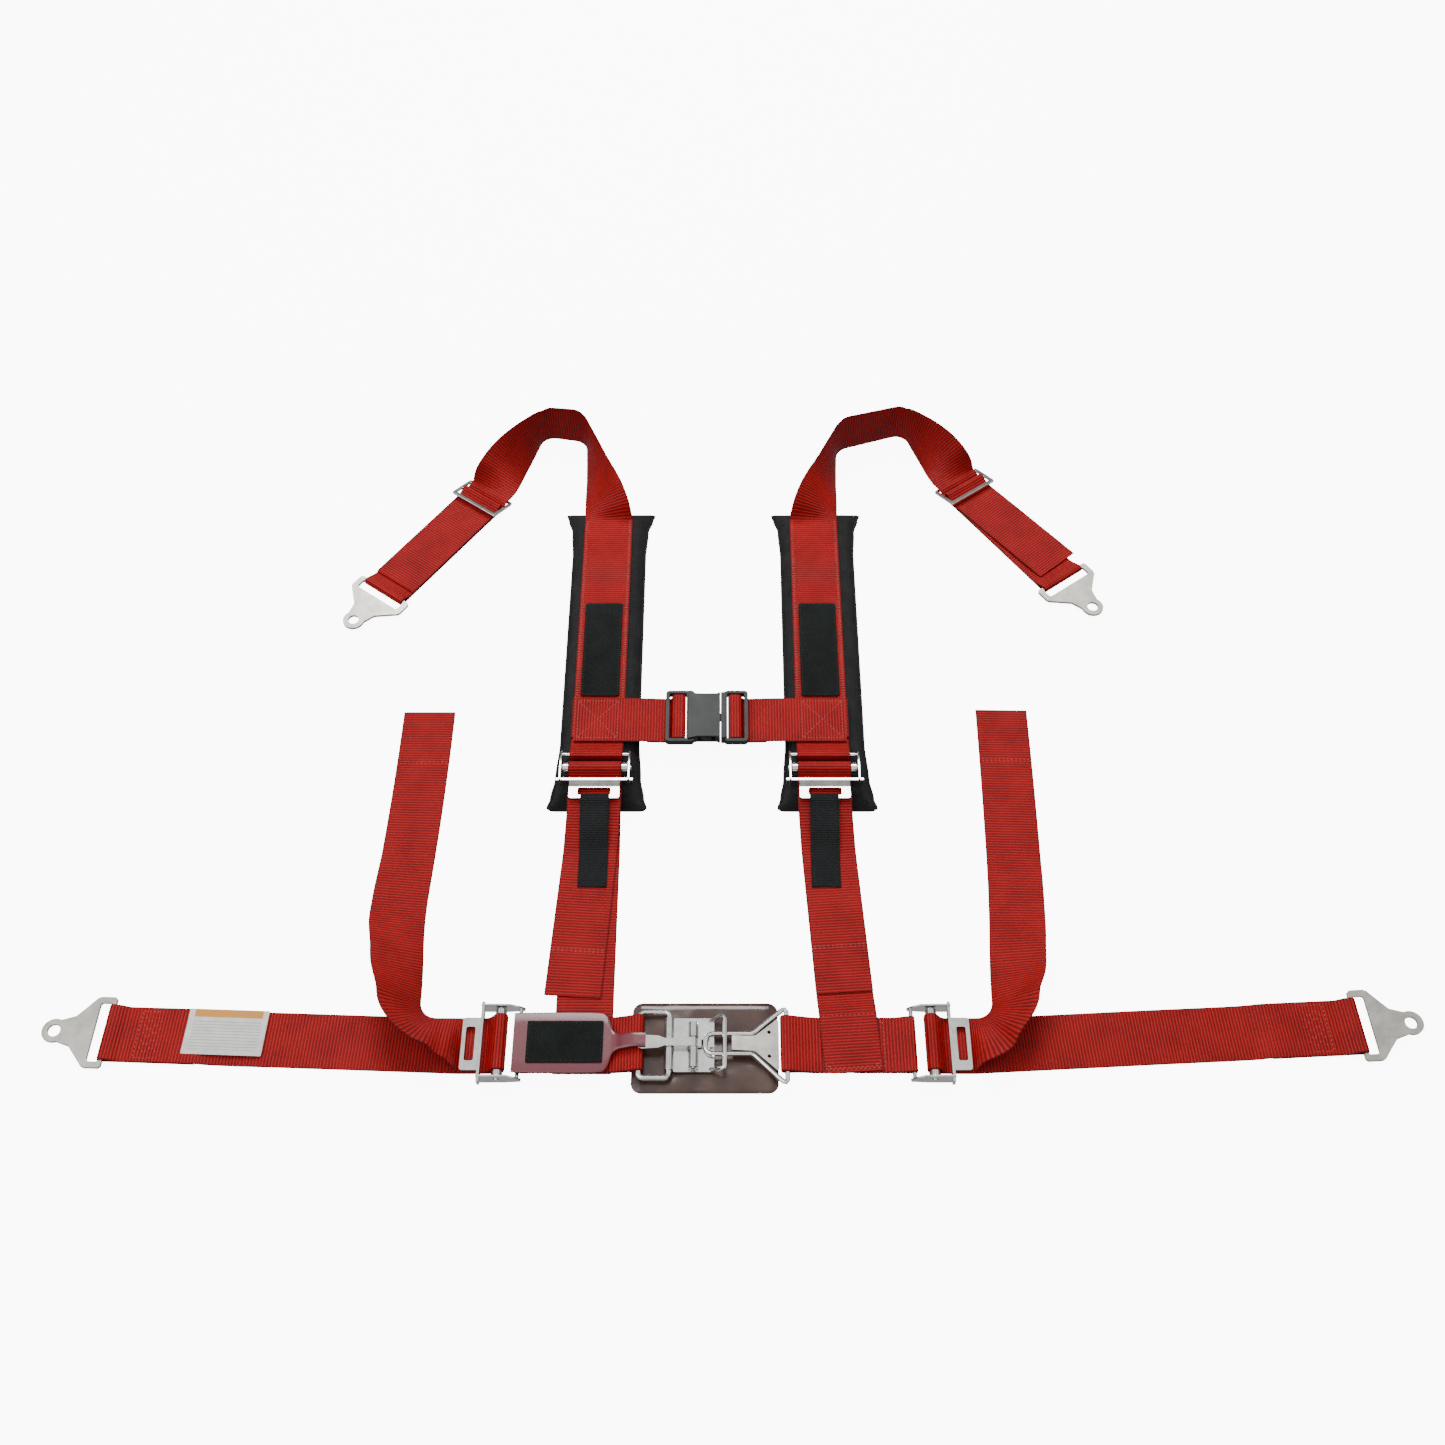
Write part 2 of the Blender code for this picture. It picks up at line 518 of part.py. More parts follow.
# ---------------------------------------------------------------- shoulder belts
def lower_strap(side):
    """Sewn to the lap belt, up over the pad's end, around the lock bar, and down as the tail."""
    spec = SHOULDER[side]
    frame = place(spec["x"], SHOULDER_Y, -90.0)
    low = SHOULDER_RISE + FLOOR_LAYER
    pad_end = SHOULDER_Y - SHOULDER_PAD["low"]
    end_z = FLOOR_LAYER if side == "left" else FLOOR_LAYER + 3 * LAYER
    under = [(LOWER_STRAP_END, end_z), (243.0, end_z), (225.0, FLOOR_LAYER), (160.0, FLOOR_LAYER),
             (pad_end + 46, FLOOR_LAYER), (pad_end + 41, FLOOR_LAYER + 0.6),
             (pad_end + 2, low - 1.6), (pad_end - 3, low - 0.2)]
    stations = flat_run(frame, under, bend_at=40.0, bend=spec["drift"])
    stations += flat_run(frame, around_lock_bar(SHOULDER_RISE))
    over = [(pad_end - 1.5, low + LAYER - 0.1), (pad_end + 3, low + LAYER - 1.5),
            (pad_end + 43, FLOOR_LAYER + LAYER + 0.7), (pad_end + 48, FLOOR_LAYER + LAYER),
            (130.0, FLOOR_LAYER + LAYER), (spec["tail_end"], FLOOR_LAYER + LAYER)]
    stations += flat_run(frame, over, bend_at=40.0, bend=spec["tail_drift"])
    ribbon(f"lower_shoulder_strap_{side}", WEBBING, stations)


def pull_tab(side):
    """A folded strip through the slot plate; lifting it tilts the adjuster and frees the strap."""
    spec = SHOULDER[side]
    frame = place(spec["x"] + (1.0 if side == "left" else -1.0), SHOULDER_Y, -90.0)
    pivot_u, pivot_z = 31.25, SHOULDER_RISE + 6.2
    low = SHOULDER_RISE + FLOOR_LAYER
    pad_end = SHOULDER_Y - SHOULDER_PAD["low"]
    path = [(pad_end + 22, low + 2 * LAYER - 7.4), (pad_end + 5, low + 2 * LAYER - 1.3),
            (pivot_u + 1.5, pivot_z - 2.7)]
    path += arc(pivot_u, pivot_z, 2.7, 270, 90, 8)
    path += [(pivot_u + 3, pivot_z + 2.2), (pad_end + 6, low + 3 * LAYER - 0.2),
             (pad_end + 24, low + 3 * LAYER - 6.2), (pad_end + 45, FLOOR_LAYER + 2 * LAYER + 1.0),
             (pad_end + 52, FLOOR_LAYER + 2 * LAYER + 0.2), (117.0, FLOOR_LAYER + 2 * LAYER)]
    ribbon(f"pull_tab_{side}", BLACK_WEB, flat_run(frame, path, 13.5), 1.0)


def shoulder_strap(side):
    """One piece: adjuster bar, over the pad, around the arch, slide, anchor, and back to the slide."""
    spec = SHOULDER[side]
    turn = 1.0 if side == "left" else -1.0
    frame = place(spec["x"], SHOULDER_Y, 90.0)
    on_pad = SHOULDER_PAD["thick"] + GAP + WEB / 2
    bar_x, bar_z = CROSS_BAR_X, SHOULDER_RISE + CROSS_BAR_Z
    path = [(62.0, on_pad), (24.0, on_pad), (16.2, on_pad + 0.35)]
    path += arc(16.2, on_pad + 3.2, 2.85, 255, 180, 4)
    path += arc(16.2, bar_z + 2.65 - 2.85, 2.85, 180, 90, 5)
    path += [(bar_x + 2, bar_z + 2.4), (25.0, 19.6), (32.0, 16.2), (36.0, on_pad + LAYER),
             (64.0, on_pad + LAYER), (73.0, on_pad), (120.0, on_pad), (200.0, on_pad), (260.0, on_pad),
             (312.0, on_pad)]
    stations = flat_run(frame, path)
    turn_1, turn_2 = spec["arch_turns"]
    plan = walk((318.0, turn * WEB_WIDTH / 2), turn * 2.0,
                [(spec["rise"], 0.0), (22.0, turn * turn_1), (spec["arch_run"], 0.0),
                 (22.0, turn * turn_2), (spec["fall"], 0.0), (26.0, turn * spec["swing"])])
    top = spec["rise"] + 7
    down = top + spec["arch_run"] + 30
    end = travelled(plan)[-1]

    def bank_at(s):
        """On edge around the arch, tipping inwards as it comes down, and flat at both ends."""
        if s < top:
            return 90.0 * (s / top) ** 0.6
        if s < down:
            return 90.0 + 4.0 * (s - top) / (down - top)
        return 94.0 * (max(end - 3.0 - s, 0.0) / (end - 3.0 - down)) ** 0.8

    heights = [(0, on_pad), (18, on_pad), (70, 1.2), (top, FLOOR_LAYER), (down, FLOOR_LAYER),
               (end - 8, 4.4), (end, 5.0)]
    stations += banked_run(frame, plan, turn, bank_at, heights)
    x, y, heading = plan[-1]
    out = frame @ place(x, y, heading) @ Matrix.Translation((14.0, -turn * WEB_WIDTH / 2, 0.0))
    stations += flat_run(out, through_slide())
    stations += flat_run(out, slide_tail(), bend_at=14.0, bend=spec["tail_bend"])
    ribbon(f"shoulder_strap_{side}", WEBBING, stations)
    three_bar_slide(f"shoulder_slide_{side}", out)
    anchor(f"shoulder_anchor_{side}", out @ Matrix.Translation((ANCHOR_RUN, 0, 0)), ANCHOR_BAR_LIFT)
    return out


SLIDE = {"reach": 13.0, "half": 26.5, "mid_z": 5.4, "rise": 3.0}


def through_slide():
    """Over the rear bar, under the middle, around the anchor, back, and over the middle bar."""
    mid_z, wrap = SLIDE["mid_z"], 3.1
    path = [(-11.5, 5.0), (-8.8, 4.0), (-4.0, 1.2), (2.0, FLOOR_LAYER),
            (40.0, FLOOR_LAYER), (ANCHOR_RUN - 8, FLOOR_LAYER)]
    path += arc(ANCHOR_RUN, ANCHOR_BAR_LIFT, 3.15, -90, 90, 8)
    path += [(ANCHOR_RUN - 7, 4.4), (ANCHOR_RUN - 13, FLOOR_LAYER + LAYER), (30.0, FLOOR_LAYER + LAYER),
             (6.0, FLOOR_LAYER + LAYER + 0.05)]
    path += arc(0.0, mid_z, wrap, 262, 70, 10)
    path += [(6.5, 4.9), (10.5, FLOOR_LAYER + 2 * LAYER + 0.1)]
    return path


def slide_tail():
    """The free end lies on the two layers below it, and may lie at a slight angle to them."""
    return [(14.0, FLOOR_LAYER + 2 * LAYER), (40.0, FLOOR_LAYER + 2 * LAYER),
            (ANCHOR_RUN - 16, FLOOR_LAYER + 2 * LAYER)]


def three_bar_slide(name, frame):
    """A flat three-bar adjuster, tipped so that its rear bar lies low."""
    tilt = math.atan2(SLIDE["rise"], SLIDE["reach"])
    at = frame @ Matrix.Translation((0, 0, SLIDE["mid_z"])) @ Matrix.Rotation(-tilt, 4, "Y")
    reach, half = SLIDE["reach"] / math.cos(tilt), SLIDE["half"]
    windows = [rounded_box(-reach + 1.6, -half, -1.6, half, 1.0, 1),
               rounded_box(1.6, -half, reach - 2.0, half, 1.0, 1)]
    return plate(name, STEEL, rounded_box(-reach - 1.8, -half - 3.5, reach + 2.4, half + 3.5, 2.0, 2),
                 windows, -1.2, 1.2, at)


def shoulder_pad(side):
    spec = SHOULDER[side]
    low, high, half, ear = (SHOULDER_PAD[key] for key in ("low", "high", "half", "ear"))
    right = [(ear, low + 2), (ear - 3, low + 12), (half + 2.5, low + 35), (half, low + 75),
             (half, high - 60), (half + 2.0, high - 25), (ear - 2.5, high - 8), (ear, high - 1.5)]
    outline = [(-ear + 2, low)] + [(ear - 2, low)] + right + [(ear - 3, high), (-ear + 3, high)]
    outline += [(-x, y) for x, y in reversed(right)]
    outline = [(x + spec["pad_x"], y) for x, y in outline]
    plate(f"shoulder_pad_{side}", BLACK_FABRIC, outline, [], 0.0, SHOULDER_PAD["thick"])
    strap_top = SHOULDER_PAD["thick"] + GAP + WEB
    x = spec["x"]
    plate(f"hook_patch_{side}", BLACK_FABRIC, rounded_box(x - 19, 362.0, x + 19, 478.0, 3.0, 2), [],
          strap_top + GAP, strap_top + GAP + 1.3)


# ---------------------------------------------------------------- sternum strap and chest buckle
def sternum(side):
    spec = SHOULDER[side]
    away = -1.0 if side == "left" else 1.0
    x = spec["x"]
    patch_z = SHOULDER_PAD["thick"] + GAP + WEB + LAYER + GAP
    low_y, high_y = STERNUM_Y - 20.0, STERNUM_Y + 26.5
    plate(f"sternum_patch_{side}", WEBBING, rounded_box(x - 26, low_y, x + 26, high_y, 1.5, 1), [],
          patch_z, patch_z + WEB)
    frame = place(0.0, STERNUM_Y, 0.0 if away > 0 else 180.0)
    strap_z = patch_z + WEB + GAP + WEB / 2
    bar, radius = 24.0, 2.9
    under = CHEST_Z - 3.5 - 0.6 - WEB / 2
    play = 6.6
    path = [(abs(x) + 23, strap_z), (abs(x) - 20, strap_z), (66.0, strap_z - 0.2), (44.0, under),
            (35.6, under), (34.0, under + 2.2)]
    path += arc(bar + play, CHEST_Z, radius, 14, 90, 4)
    path += arc(bar, CHEST_Z, radius, 90, 270, 9)
    path += [(bar + play, CHEST_Z - radius), (31.8, under - 0.3), (34.6, under - LAYER - 0.1),
             (44.0, under - LAYER), (58.0, under - LAYER + 0.6)]
    ribbon(f"sternum_strap_{side}", WEBBING, flat_run(frame, path))


def chest_buckle():
    frame = place(0.0, STERNUM_Y, 0.0, CHEST_Z)
    half_z = 5.5

    def end_frame(name, sign):
        """The open end that carries a webbing bar."""
        outline = [(sign * x, y) for x, y in rounded_box(12.0, -29.5, 40.0, 29.5, 3.0, 2)]
        window = [(sign * x, y) for x, y in rounded_box(19.8, -26.4, 36.5, 26.4, 0.6, 1)]
        if sign < 0:
            outline.reverse()
            window.reverse()
        return plate(name, None, outline, [window], -3.5, 3.5, frame, tools)

    housing = plate("chest_buckle_housing", BLACK_PLASTIC,
                    [(-18.0, -27.5), (-9.5, -25.0), (9.5, -25.0), (13.0, -26.5), (13.0, 26.5),
                     (9.5, 25.0), (-9.5, 25.0), (-18.0, 27.5)], [], -half_z, half_z, frame)
    combine(housing, [end_frame("housing_end", -1),
                      bar_along_y("housing_bar", None, -24.0, 0.0, 2.0, -27.5, 27.5, frame, tools, 12)])
    cuts = [box("housing_cavity", None, (-10.5, -22.8, -3.2), (15.0, 22.8, 3.2), frame, tools)]
    cuts += [box(f"housing_window_{i}", None, (-8.5, y0, -3.2), (8.0, y1, 3.2), frame, tools)
             for i, (y0, y1) in enumerate(((-30.0, -20.0), (20.0, 30.0)))]
    combine(housing, cuts, "DIFFERENCE")

    insert = plate("chest_buckle_insert", BLACK_PLASTIC, rounded_box(13.6, -26.5, 18.5, 26.5, 0.8, 1), [],
                   -half_z, half_z, frame)
    tongue = box("insert_tongue", None, (-8.0, -3.5, -2.0), (14.5, 3.5, 2.0), frame, tools)
    end = plate("insert_end", None, rounded_box(17.0, -29.5, 40.0, 29.5, 3.0, 2),
                [rounded_box(19.8, -26.4, 36.5, 26.4, 0.6, 1)], -3.5, 3.5, frame, tools)
    bar = bar_along_y("insert_bar", None, 24.0, 0.0, 2.0, -27.5, 27.5, frame, tools, 12)
    combine(insert, [tongue, end, bar])

    for name, sign in (("chest_buckle_prong_front", -1), ("chest_buckle_prong_rear", 1)):
        outline = [(12.8, 10.5), (12.8, 15.5), (5.0, 19.0), (4.5, 25.2), (-1.0, 25.8), (-6.0, 24.0),
                   (-8.0, 20.0), (-7.0, 17.5), (-3.0, 16.5), (4.0, 14.5)]
        points = [(x, y * sign) for x, y in outline]
        if sign < 0:
            points.reverse()
        plate(name, BLACK_PLASTIC, points, [], -2.4, 2.4, frame)


# ---------------------------------------------------------------- label on the lap belt
def label():
    spec = LAP["left"]
    frame = place(*spec["lock"], spec["heading"])
    plate("care_label", LABEL_CLOTH, rounded_box(205.0, -25.4, 275.0, 16.6, 0.8, 1), [], 3.1, 3.5,
          slanted(frame, spec))


outs = {}
for belt_side in ("left", "right"):
    lap_belt(belt_side)
    lower_strap(belt_side)
    outs[belt_side] = shoulder_strap(belt_side)
    shoulder_pad(belt_side)
    pull_tab(belt_side)
    sternum(belt_side)
    shoulder_frame = place(SHOULDER[belt_side]["x"], SHOULDER_Y, 90.0, SHOULDER_RISE)
    adjuster(f"shoulder_adjuster_frame_{belt_side}", shoulder_frame)
    lock_bar(f"shoulder_adjuster_bar_{belt_side}", shoulder_frame)

inner_strap("inner_lap_strap_left", RING["x"][0], RING["z"], RING["r"],
            LAP["left"]["lock"][0] + CROSS_BAR_X)
inner_strap("inner_lap_strap_right", LINK["bar_x"], LINK["bar_z"], LINK["r"],
            LAP["right"]["lock"][0] - CROSS_BAR_X, LINK["slack"])
backing_pad()
webbing_ring()
latch_base()
lever()
bar_along_y("lever_pin", STEEL, HINGE_X, HINGE_Z, 2.0, -23.4, 19.2)
link()
release_tab()
chest_buckle()
label()
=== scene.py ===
"""Visual model of a four-point racing harness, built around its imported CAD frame.

Sizes are in millimetres, as in the CAD; MM turns them into metres. Straps are swept along the same
routes as their CAD solids, with rounded edges and stitching, and metal pieces are refined copies.
"""

import json
import math

import bmesh
import bpy
from mathutils import Matrix, Vector, noise


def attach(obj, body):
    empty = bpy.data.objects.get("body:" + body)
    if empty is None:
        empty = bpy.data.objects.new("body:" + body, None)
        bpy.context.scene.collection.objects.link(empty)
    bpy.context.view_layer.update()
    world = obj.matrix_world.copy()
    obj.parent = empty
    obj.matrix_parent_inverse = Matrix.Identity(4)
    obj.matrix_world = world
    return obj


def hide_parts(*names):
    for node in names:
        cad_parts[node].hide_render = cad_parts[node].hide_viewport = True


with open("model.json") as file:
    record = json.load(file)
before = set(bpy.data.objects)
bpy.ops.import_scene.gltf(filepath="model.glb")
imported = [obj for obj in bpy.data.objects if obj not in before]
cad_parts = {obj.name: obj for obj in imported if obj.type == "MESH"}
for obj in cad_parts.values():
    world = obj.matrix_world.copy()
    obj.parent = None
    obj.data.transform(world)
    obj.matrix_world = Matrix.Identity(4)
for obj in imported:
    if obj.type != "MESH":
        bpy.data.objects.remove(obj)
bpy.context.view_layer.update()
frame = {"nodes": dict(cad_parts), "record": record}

MM = 0.001

WEB_WIDTH = 50.8
WEB = 1.2                      # webbing thickness
GAP = 0.3                      # clearance between neighbouring pieces
FLOOR_LAYER = WEB / 2          # centre height of webbing that lies on the ground
LAYER = WEB + GAP              # rise from one layer of webbing to the next
SECOND_LAYER = FLOOR_LAYER + LAYER
THIRD_LAYER = FLOOR_LAYER + 2 * LAYER
WRAP = GAP + WEB / 2           # from a bar's surface to the middle of the webbing round it
SEAM = 21.5                    # half width of the boxes of stitches
HEM = 24.0                     # half width of the rows of stitches across a free end

PAD_SIZE = (127.0, 83.0, 3.0)  # backing pad behind the buckle
PAD_CORNER = 9.0

LOCK_BAR_RADIUS = 5.0          # round bar of a tilt-lock adjuster
LOCK_BAR_Z = 7.5
CROSS_BAR_X = 17.0             # sewn-strap bar, measured from the lock bar
CROSS_BAR_Z = 4.6
CROSS_BAR_RADIUS = 1.75

BELT_Y = 1.5                   # line of the lap belt
# A lap belt leaves its lock bar along its heading, and its tail turns up at turn_at and then drifts,
# in (length, turn) moves, while its edge sinks through the three angles of its bank.
LAP = {
    "left": {"lock": (-178.0, BELT_Y), "heading": 180.0, "slant": -2.1, "length": 342.0, "turn_at": 58.0,
             "drift": ((50.0, -3.0), (62.0, 8.0), (200.0, -3.0)), "bank": (52.0, 32.0, 6.0)},
    "right": {"lock": (197.0, BELT_Y), "heading": 0.0, "slant": 3.0, "length": 373.0, "turn_at": 41.0,
              "drift": ((60.0, -3.0), (90.0, 3.0), (165.0, 1.0)), "bank": (46.0, 18.0, 4.0)},
}
SLANT_FROM = 36.0              # the outer belts leave their adjusters straight, then slant
ANCHOR_UNDERLAP = 80.0         # doubled, sewn length behind each lap anchor

SHOULDER_Y = 273.0             # lock bars of the shoulder adjusters
SHOULDER_RISE = 15.8           # the adjusters stand on the pads
# A shoulder belt rises past its pad, goes round an arch of two turns and falls to its slide.
SHOULDER = {
    "left": {"x": -106.0, "pad_x": -104.5, "drift": 0.0, "tail_drift": -3.5, "tail_end": 226.0,
             "rise": 114.0, "arch_turns": (78.0, 84.0), "arch_run": 22.0, "fall": 65.0, "swing": -19.6,
             "tail_bend": 0.0},
    "right": {"x": 112.0, "pad_x": 115.0, "drift": 3.6, "tail_drift": 3.6, "tail_end": 222.0,
              "rise": 102.0, "arch_turns": (70.0, 90.0), "arch_run": 54.0, "fall": 52.0, "swing": -17.7,
              "tail_bend": 4.0},
}
BEND_FROM = 40.0               # the lower shoulder straps leave their adjusters straight, then drift
LOWER_STRAP_END = 297.0        # sewn end of the lower shoulder strap, from the lock bar
SHOULDER_PAD = {"low": 238.0, "high": 608.0, "half": 39.0, "ear": 48.0, "thick": 13.0}
ANCHOR_RUN = 157.0             # three-bar slide to shoulder anchor
SLIDE_REACH = 14.0             # end of the arch to the slide's middle bar
SLIDE_BAR_Z = 5.4              # height of that bar
SLIDE_BEND_AT = 14.0           # where the slide's tail may turn from the layers below it

STERNUM_Y = 332.0
CHEST_Z = 22.0                 # middle height of the chest buckle

ANCHOR_BAR_LIFT = 3.75         # height of the webbing bar's axis over the ground
ANCHOR_WRAP = 3.15             # radius of the webbing's middle round that bar

RING = {"bar_x": -57.0, "bar_z": 8.0, "r": 2.4}
LINK = {"bar_x": 71.0, "bar_z": 6.2, "r": 2.3, "slack": 2.0}


def place(x, y, heading=0.0, z=0.0):
    """A local frame: +X along the heading (degrees), +Y to its left, +Z up."""
    return Matrix.Translation((x, y, z)) @ Matrix.Rotation(math.radians(heading), 4, "Z")


def bent(at, distance, degrees):
    """The same frame, turned by degrees about the point at that distance along its +X."""
    return at @ place(distance, 0.0, degrees) @ Matrix.Translation((-distance, 0, 0))


def arc(cx, cy, radius, start, end, count):
    """Points on an arc, angles in degrees, both ends included."""
    points = []
    for i in range(count + 1):
        a = math.radians(start + (end - start) * i / count)
        points.append((cx + radius * math.cos(a), cy + radius * math.sin(a)))
    return points


def rounded_box(x0, y0, x1, y1, radius, count=4):
    corners = ((x1 - radius, y0 + radius, -90), (x1 - radius, y1 - radius, 0),
               (x0 + radius, y1 - radius, 90), (x0 + radius, y0 + radius, 180))
    points = []
    for cx, cy, start in corners:
        points += arc(cx, cy, radius, start, start + 90, count)
    return points


def flat_run(at, path, half=WEB_WIDTH / 2, bend_at=1e6, bend=0.0):
    """Stations of a strap whose middle follows (distance, height) points along a frame's +X.

    A third number in a point is the strap's half width there.
    """
    stations = []
    turn = math.radians(bend)
    for u, z, *own in path:
        beyond = max(u - bend_at, 0.0)
        centre = Vector((u - beyond + beyond * math.cos(turn), beyond * math.sin(turn), z))
        angle = turn * min(max((u - bend_at) / 20.0, 0.0), 1.0)
        side = Vector((-math.sin(angle), math.cos(angle), 0.0)) * (own[0] if own else half)
        stations.append((at @ centre, at.to_3x3() @ side))
    return stations


def walk(start, heading, moves, step=9.0):
    """Plan points and headings: each move is (length, turn in degrees) on an arc or a straight."""
    x, y = start
    plan = [(x, y, heading)]
    for length, turn in moves:
        count = max(1, round(length / step), round(abs(turn) / 12.0))
        for _ in range(count):
            heading += turn / count / 2
            x += length / count * math.cos(math.radians(heading))
            y += length / count * math.sin(math.radians(heading))
            heading += turn / count / 2
            plan.append((x, y, heading))
    return plan


def travelled(plan):
    distance = 0.0
    out = [0.0]
    for (x0, y0, _), (x1, y1, _) in zip(plan, plan[1:]):
        distance += math.hypot(x1 - x0, y1 - y0)
        out.append(distance)
    return out


def eased(keys, s):
    """A smooth value at s through (place, value) keys."""
    if s <= keys[0][0]:
        return keys[0][1]
    for (s0, v0), (s1, v1) in zip(keys, keys[1:]):
        if s <= s1:
            t = (s - s0) / (s1 - s0)
            return v0 + (v1 - v0) * t * t * (3 - 2 * t)
    return keys[-1][1]


def banked_run(at, plan, inner_side, bank_at, height_keys):
    """Stations of a strap that rises on its inner edge as it turns.

    The plan is the inner edge; inner_side is +1 where that edge is on the left.
    """
    stations = []
    for (x, y, heading), s in zip(plan, travelled(plan)):
        bank = math.radians(bank_at(s))
        h = math.radians(heading)
        left = Vector((-math.sin(h), math.cos(h), 0.0))
        side = (left * math.cos(bank) - Vector((0, 0, inner_side * math.sin(bank)))) * WEB_WIDTH / 2
        centre = Vector((x, y, eased(height_keys, s))) - side * inner_side
        stations.append((at @ centre, at.to_3x3() @ side))
    return stations


# ---------------------------------------------------------------- materials
RIB = 2.8                      # pitch of the webbing's cross ribs (mm)


class Look:
    """A Principled material and a few shorthands for wiring it."""

    def __init__(self, name, colour, roughness, metallic=0.0, **sockets):
        self.material = bpy.data.materials.new(name)
        self.material.use_nodes = True
        self.tree = self.material.node_tree
        self.shader = self.tree.nodes["Principled BSDF"]
        values = {"Base Color": (*colour, 1.0), "Roughness": roughness, "Metallic": metallic}
        values.update({key.replace("_", " "): value for key, value in sockets.items()})
        for key, value in values.items():
            self.shader.inputs[key].default_value = value

    def node(self, kind, inputs=(), **settings):
        made = self.tree.nodes.new(kind)
        for key, value in settings.items():
            setattr(made, key, value)
        for key, value in dict(inputs).items():
            if isinstance(value, bpy.types.NodeSocket):
                self.tree.links.new(value, made.inputs[key])
            else:
                made.inputs[key].default_value = value
        return made

    def maths(self, operation, a, b=0.0, clamp=False):
        return self.node("ShaderNodeMath", {0: a, 1: b}, operation=operation, use_clamp=clamp).outputs[0]

    def noise(self, scale, detail=3.0, vector=None):
        inputs = {"Scale": scale, "Detail": detail}
        inputs["Vector"] = vector or self.node("ShaderNodeTexCoord").outputs["Object"]
        return self.node("ShaderNodeTexNoise", inputs).outputs["Fac"]

    def ramp(self, value, low, high, at=(0.0, 1.0)):
        made = self.node("ShaderNodeValToRGB", {"Fac": value})
        for element, colour, where in zip(made.color_ramp.elements, (low, high), at):
            element.color = (*colour, 1.0)
            element.position = where
        return made.outputs["Color"]

    def spread(self, value, low, high):
        return self.node("ShaderNodeMapRange", {"Value": value, "To Min": low, "To Max": high}).outputs[0]

    def paint(self, colour):
        self.tree.links.new(colour, self.shader.inputs["Base Color"])

    def rough(self, value):
        self.tree.links.new(value, self.shader.inputs["Roughness"])

    def bump(self, height, distance, strength=1.0, under=None):
        inputs = {"Height": height, "Distance": distance * MM, "Strength": strength}
        if under is not None:
            inputs["Normal"] = under
        normal = self.node("ShaderNodeBump", inputs).outputs["Normal"]
        self.tree.links.new(normal, self.shader.inputs["Normal"])
        return normal


def webbing_look(name, ridge, groove_shade, edge, rib=RIB, sheen=0.05, shine=0.16):
    """Cross ribs with painted shade in their grooves, fine warp yarns and a selvedge, all in the strap's
    own coordinates.
    """
    look = Look(name, ridge, 0.5, Sheen_Weight=sheen, Sheen_Roughness=0.6, Specular_IOR_Level=shine,
                Sheen_Tint=(*[min(1.0, 2 * c) for c in ridge], 1.0))
    strap = look.node("ShaderNodeAttribute", attribute_name="strap")
    parts = look.node("ShaderNodeSeparateXYZ", {0: strap.outputs["Vector"]})
    across, along = parts.outputs[0], parts.outputs[1]
    wobble = look.noise(240.0, 2.0)
    shifted = look.maths("ADD", along, look.maths("MULTIPLY", wobble, 0.0007))
    wave = look.maths("SINE", look.maths("MULTIPLY", shifted, 2 * math.pi / (rib * MM)))
    wave = look.spread(wave, 0.0, 1.0)
    wave.node.inputs["From Min"].default_value = -1.0
    yarn = look.maths("SINE", look.maths("MULTIPLY", across, 2 * math.pi / (0.75 * MM)))
    cloth = look.noise(38.0, 4.0)
    tone = look.maths("ADD", look.maths("MULTIPLY", wave, 0.6), look.maths("MULTIPLY", cloth, 0.5), True)
    tone = look.maths("ADD", tone, look.maths("MULTIPLY", yarn, 0.035), True)
    # Partly random cloth tone, partly painted shade: the rib wave turns the grooves between the ribs to the
    # darker groove colour.
    body = look.ramp(tone, groove_shade, ridge, (0.12, 0.85))
    rim = look.maths("GREATER_THAN", look.maths("ABSOLUTE", across), (WEB_WIDTH / 2 - 0.9) * MM)
    mixed = look.node("ShaderNodeMix", {"Factor": look.maths("MULTIPLY", rim, 0.6)}, data_type="RGBA")
    look.tree.links.new(body, mixed.inputs[6])
    mixed.inputs[7].default_value = (*edge, 1.0)
    look.paint(mixed.outputs[2])
    height = look.maths("ADD", wave, look.maths("MULTIPLY", yarn, 0.16))
    look.bump(height, 0.34, 0.9)
    return look.material


def woven_look(name, dark, light, pitch, roughness=0.9, depth=0.25):
    """A plain weave drawn in object space, so that it doesn't depend on any mapping."""
    look = Look(name, light, roughness, Sheen_Weight=0.03, Sheen_Roughness=0.5, Specular_IOR_Level=0.25)
    place_of = look.node("ShaderNodeTexCoord").outputs["Object"]
    axes = look.node("ShaderNodeSeparateXYZ", {0: place_of})
    turns = [look.maths("SINE", look.maths("MULTIPLY", axes.outputs[i], 2 * math.pi / (pitch * MM)))
             for i in (0, 1)]
    weave = look.maths("MULTIPLY", turns[0], turns[1])
    blotch = look.noise(55.0, 5.0)
    tone = look.maths("ADD", look.maths("MULTIPLY", weave, 0.22), blotch, True)
    look.paint(look.ramp(tone, dark, light, (0.25, 0.8)))
    soft = look.bump(look.noise(130.0, 3.0), 0.5, 0.35)
    look.bump(weave, depth, 0.8, soft)
    return look.material


def metal_look(name, bright, dull, roughness, scratch=0.10, grain=90.0):
    """Bright metal with faint smudges, fine scratches and a slightly uneven surface."""
    look = Look(name, bright, roughness, 1.0)
    smudge = look.noise(grain, 4.0)
    look.paint(look.ramp(smudge, dull, bright, (0.3, 0.7)))
    at = look.node("ShaderNodeMapping", {"Vector": look.node("ShaderNodeTexCoord").outputs["Object"],
                                         "Scale": (40.0, 900.0, 400.0)}).outputs[0]
    lines = look.noise(3.0, 2.0, at)
    look.rough(look.spread(lines, max(roughness - 0.04, 0.03), roughness + scratch))
    look.bump(look.noise(60.0, 2.0), 0.25, 0.35)
    return look.material


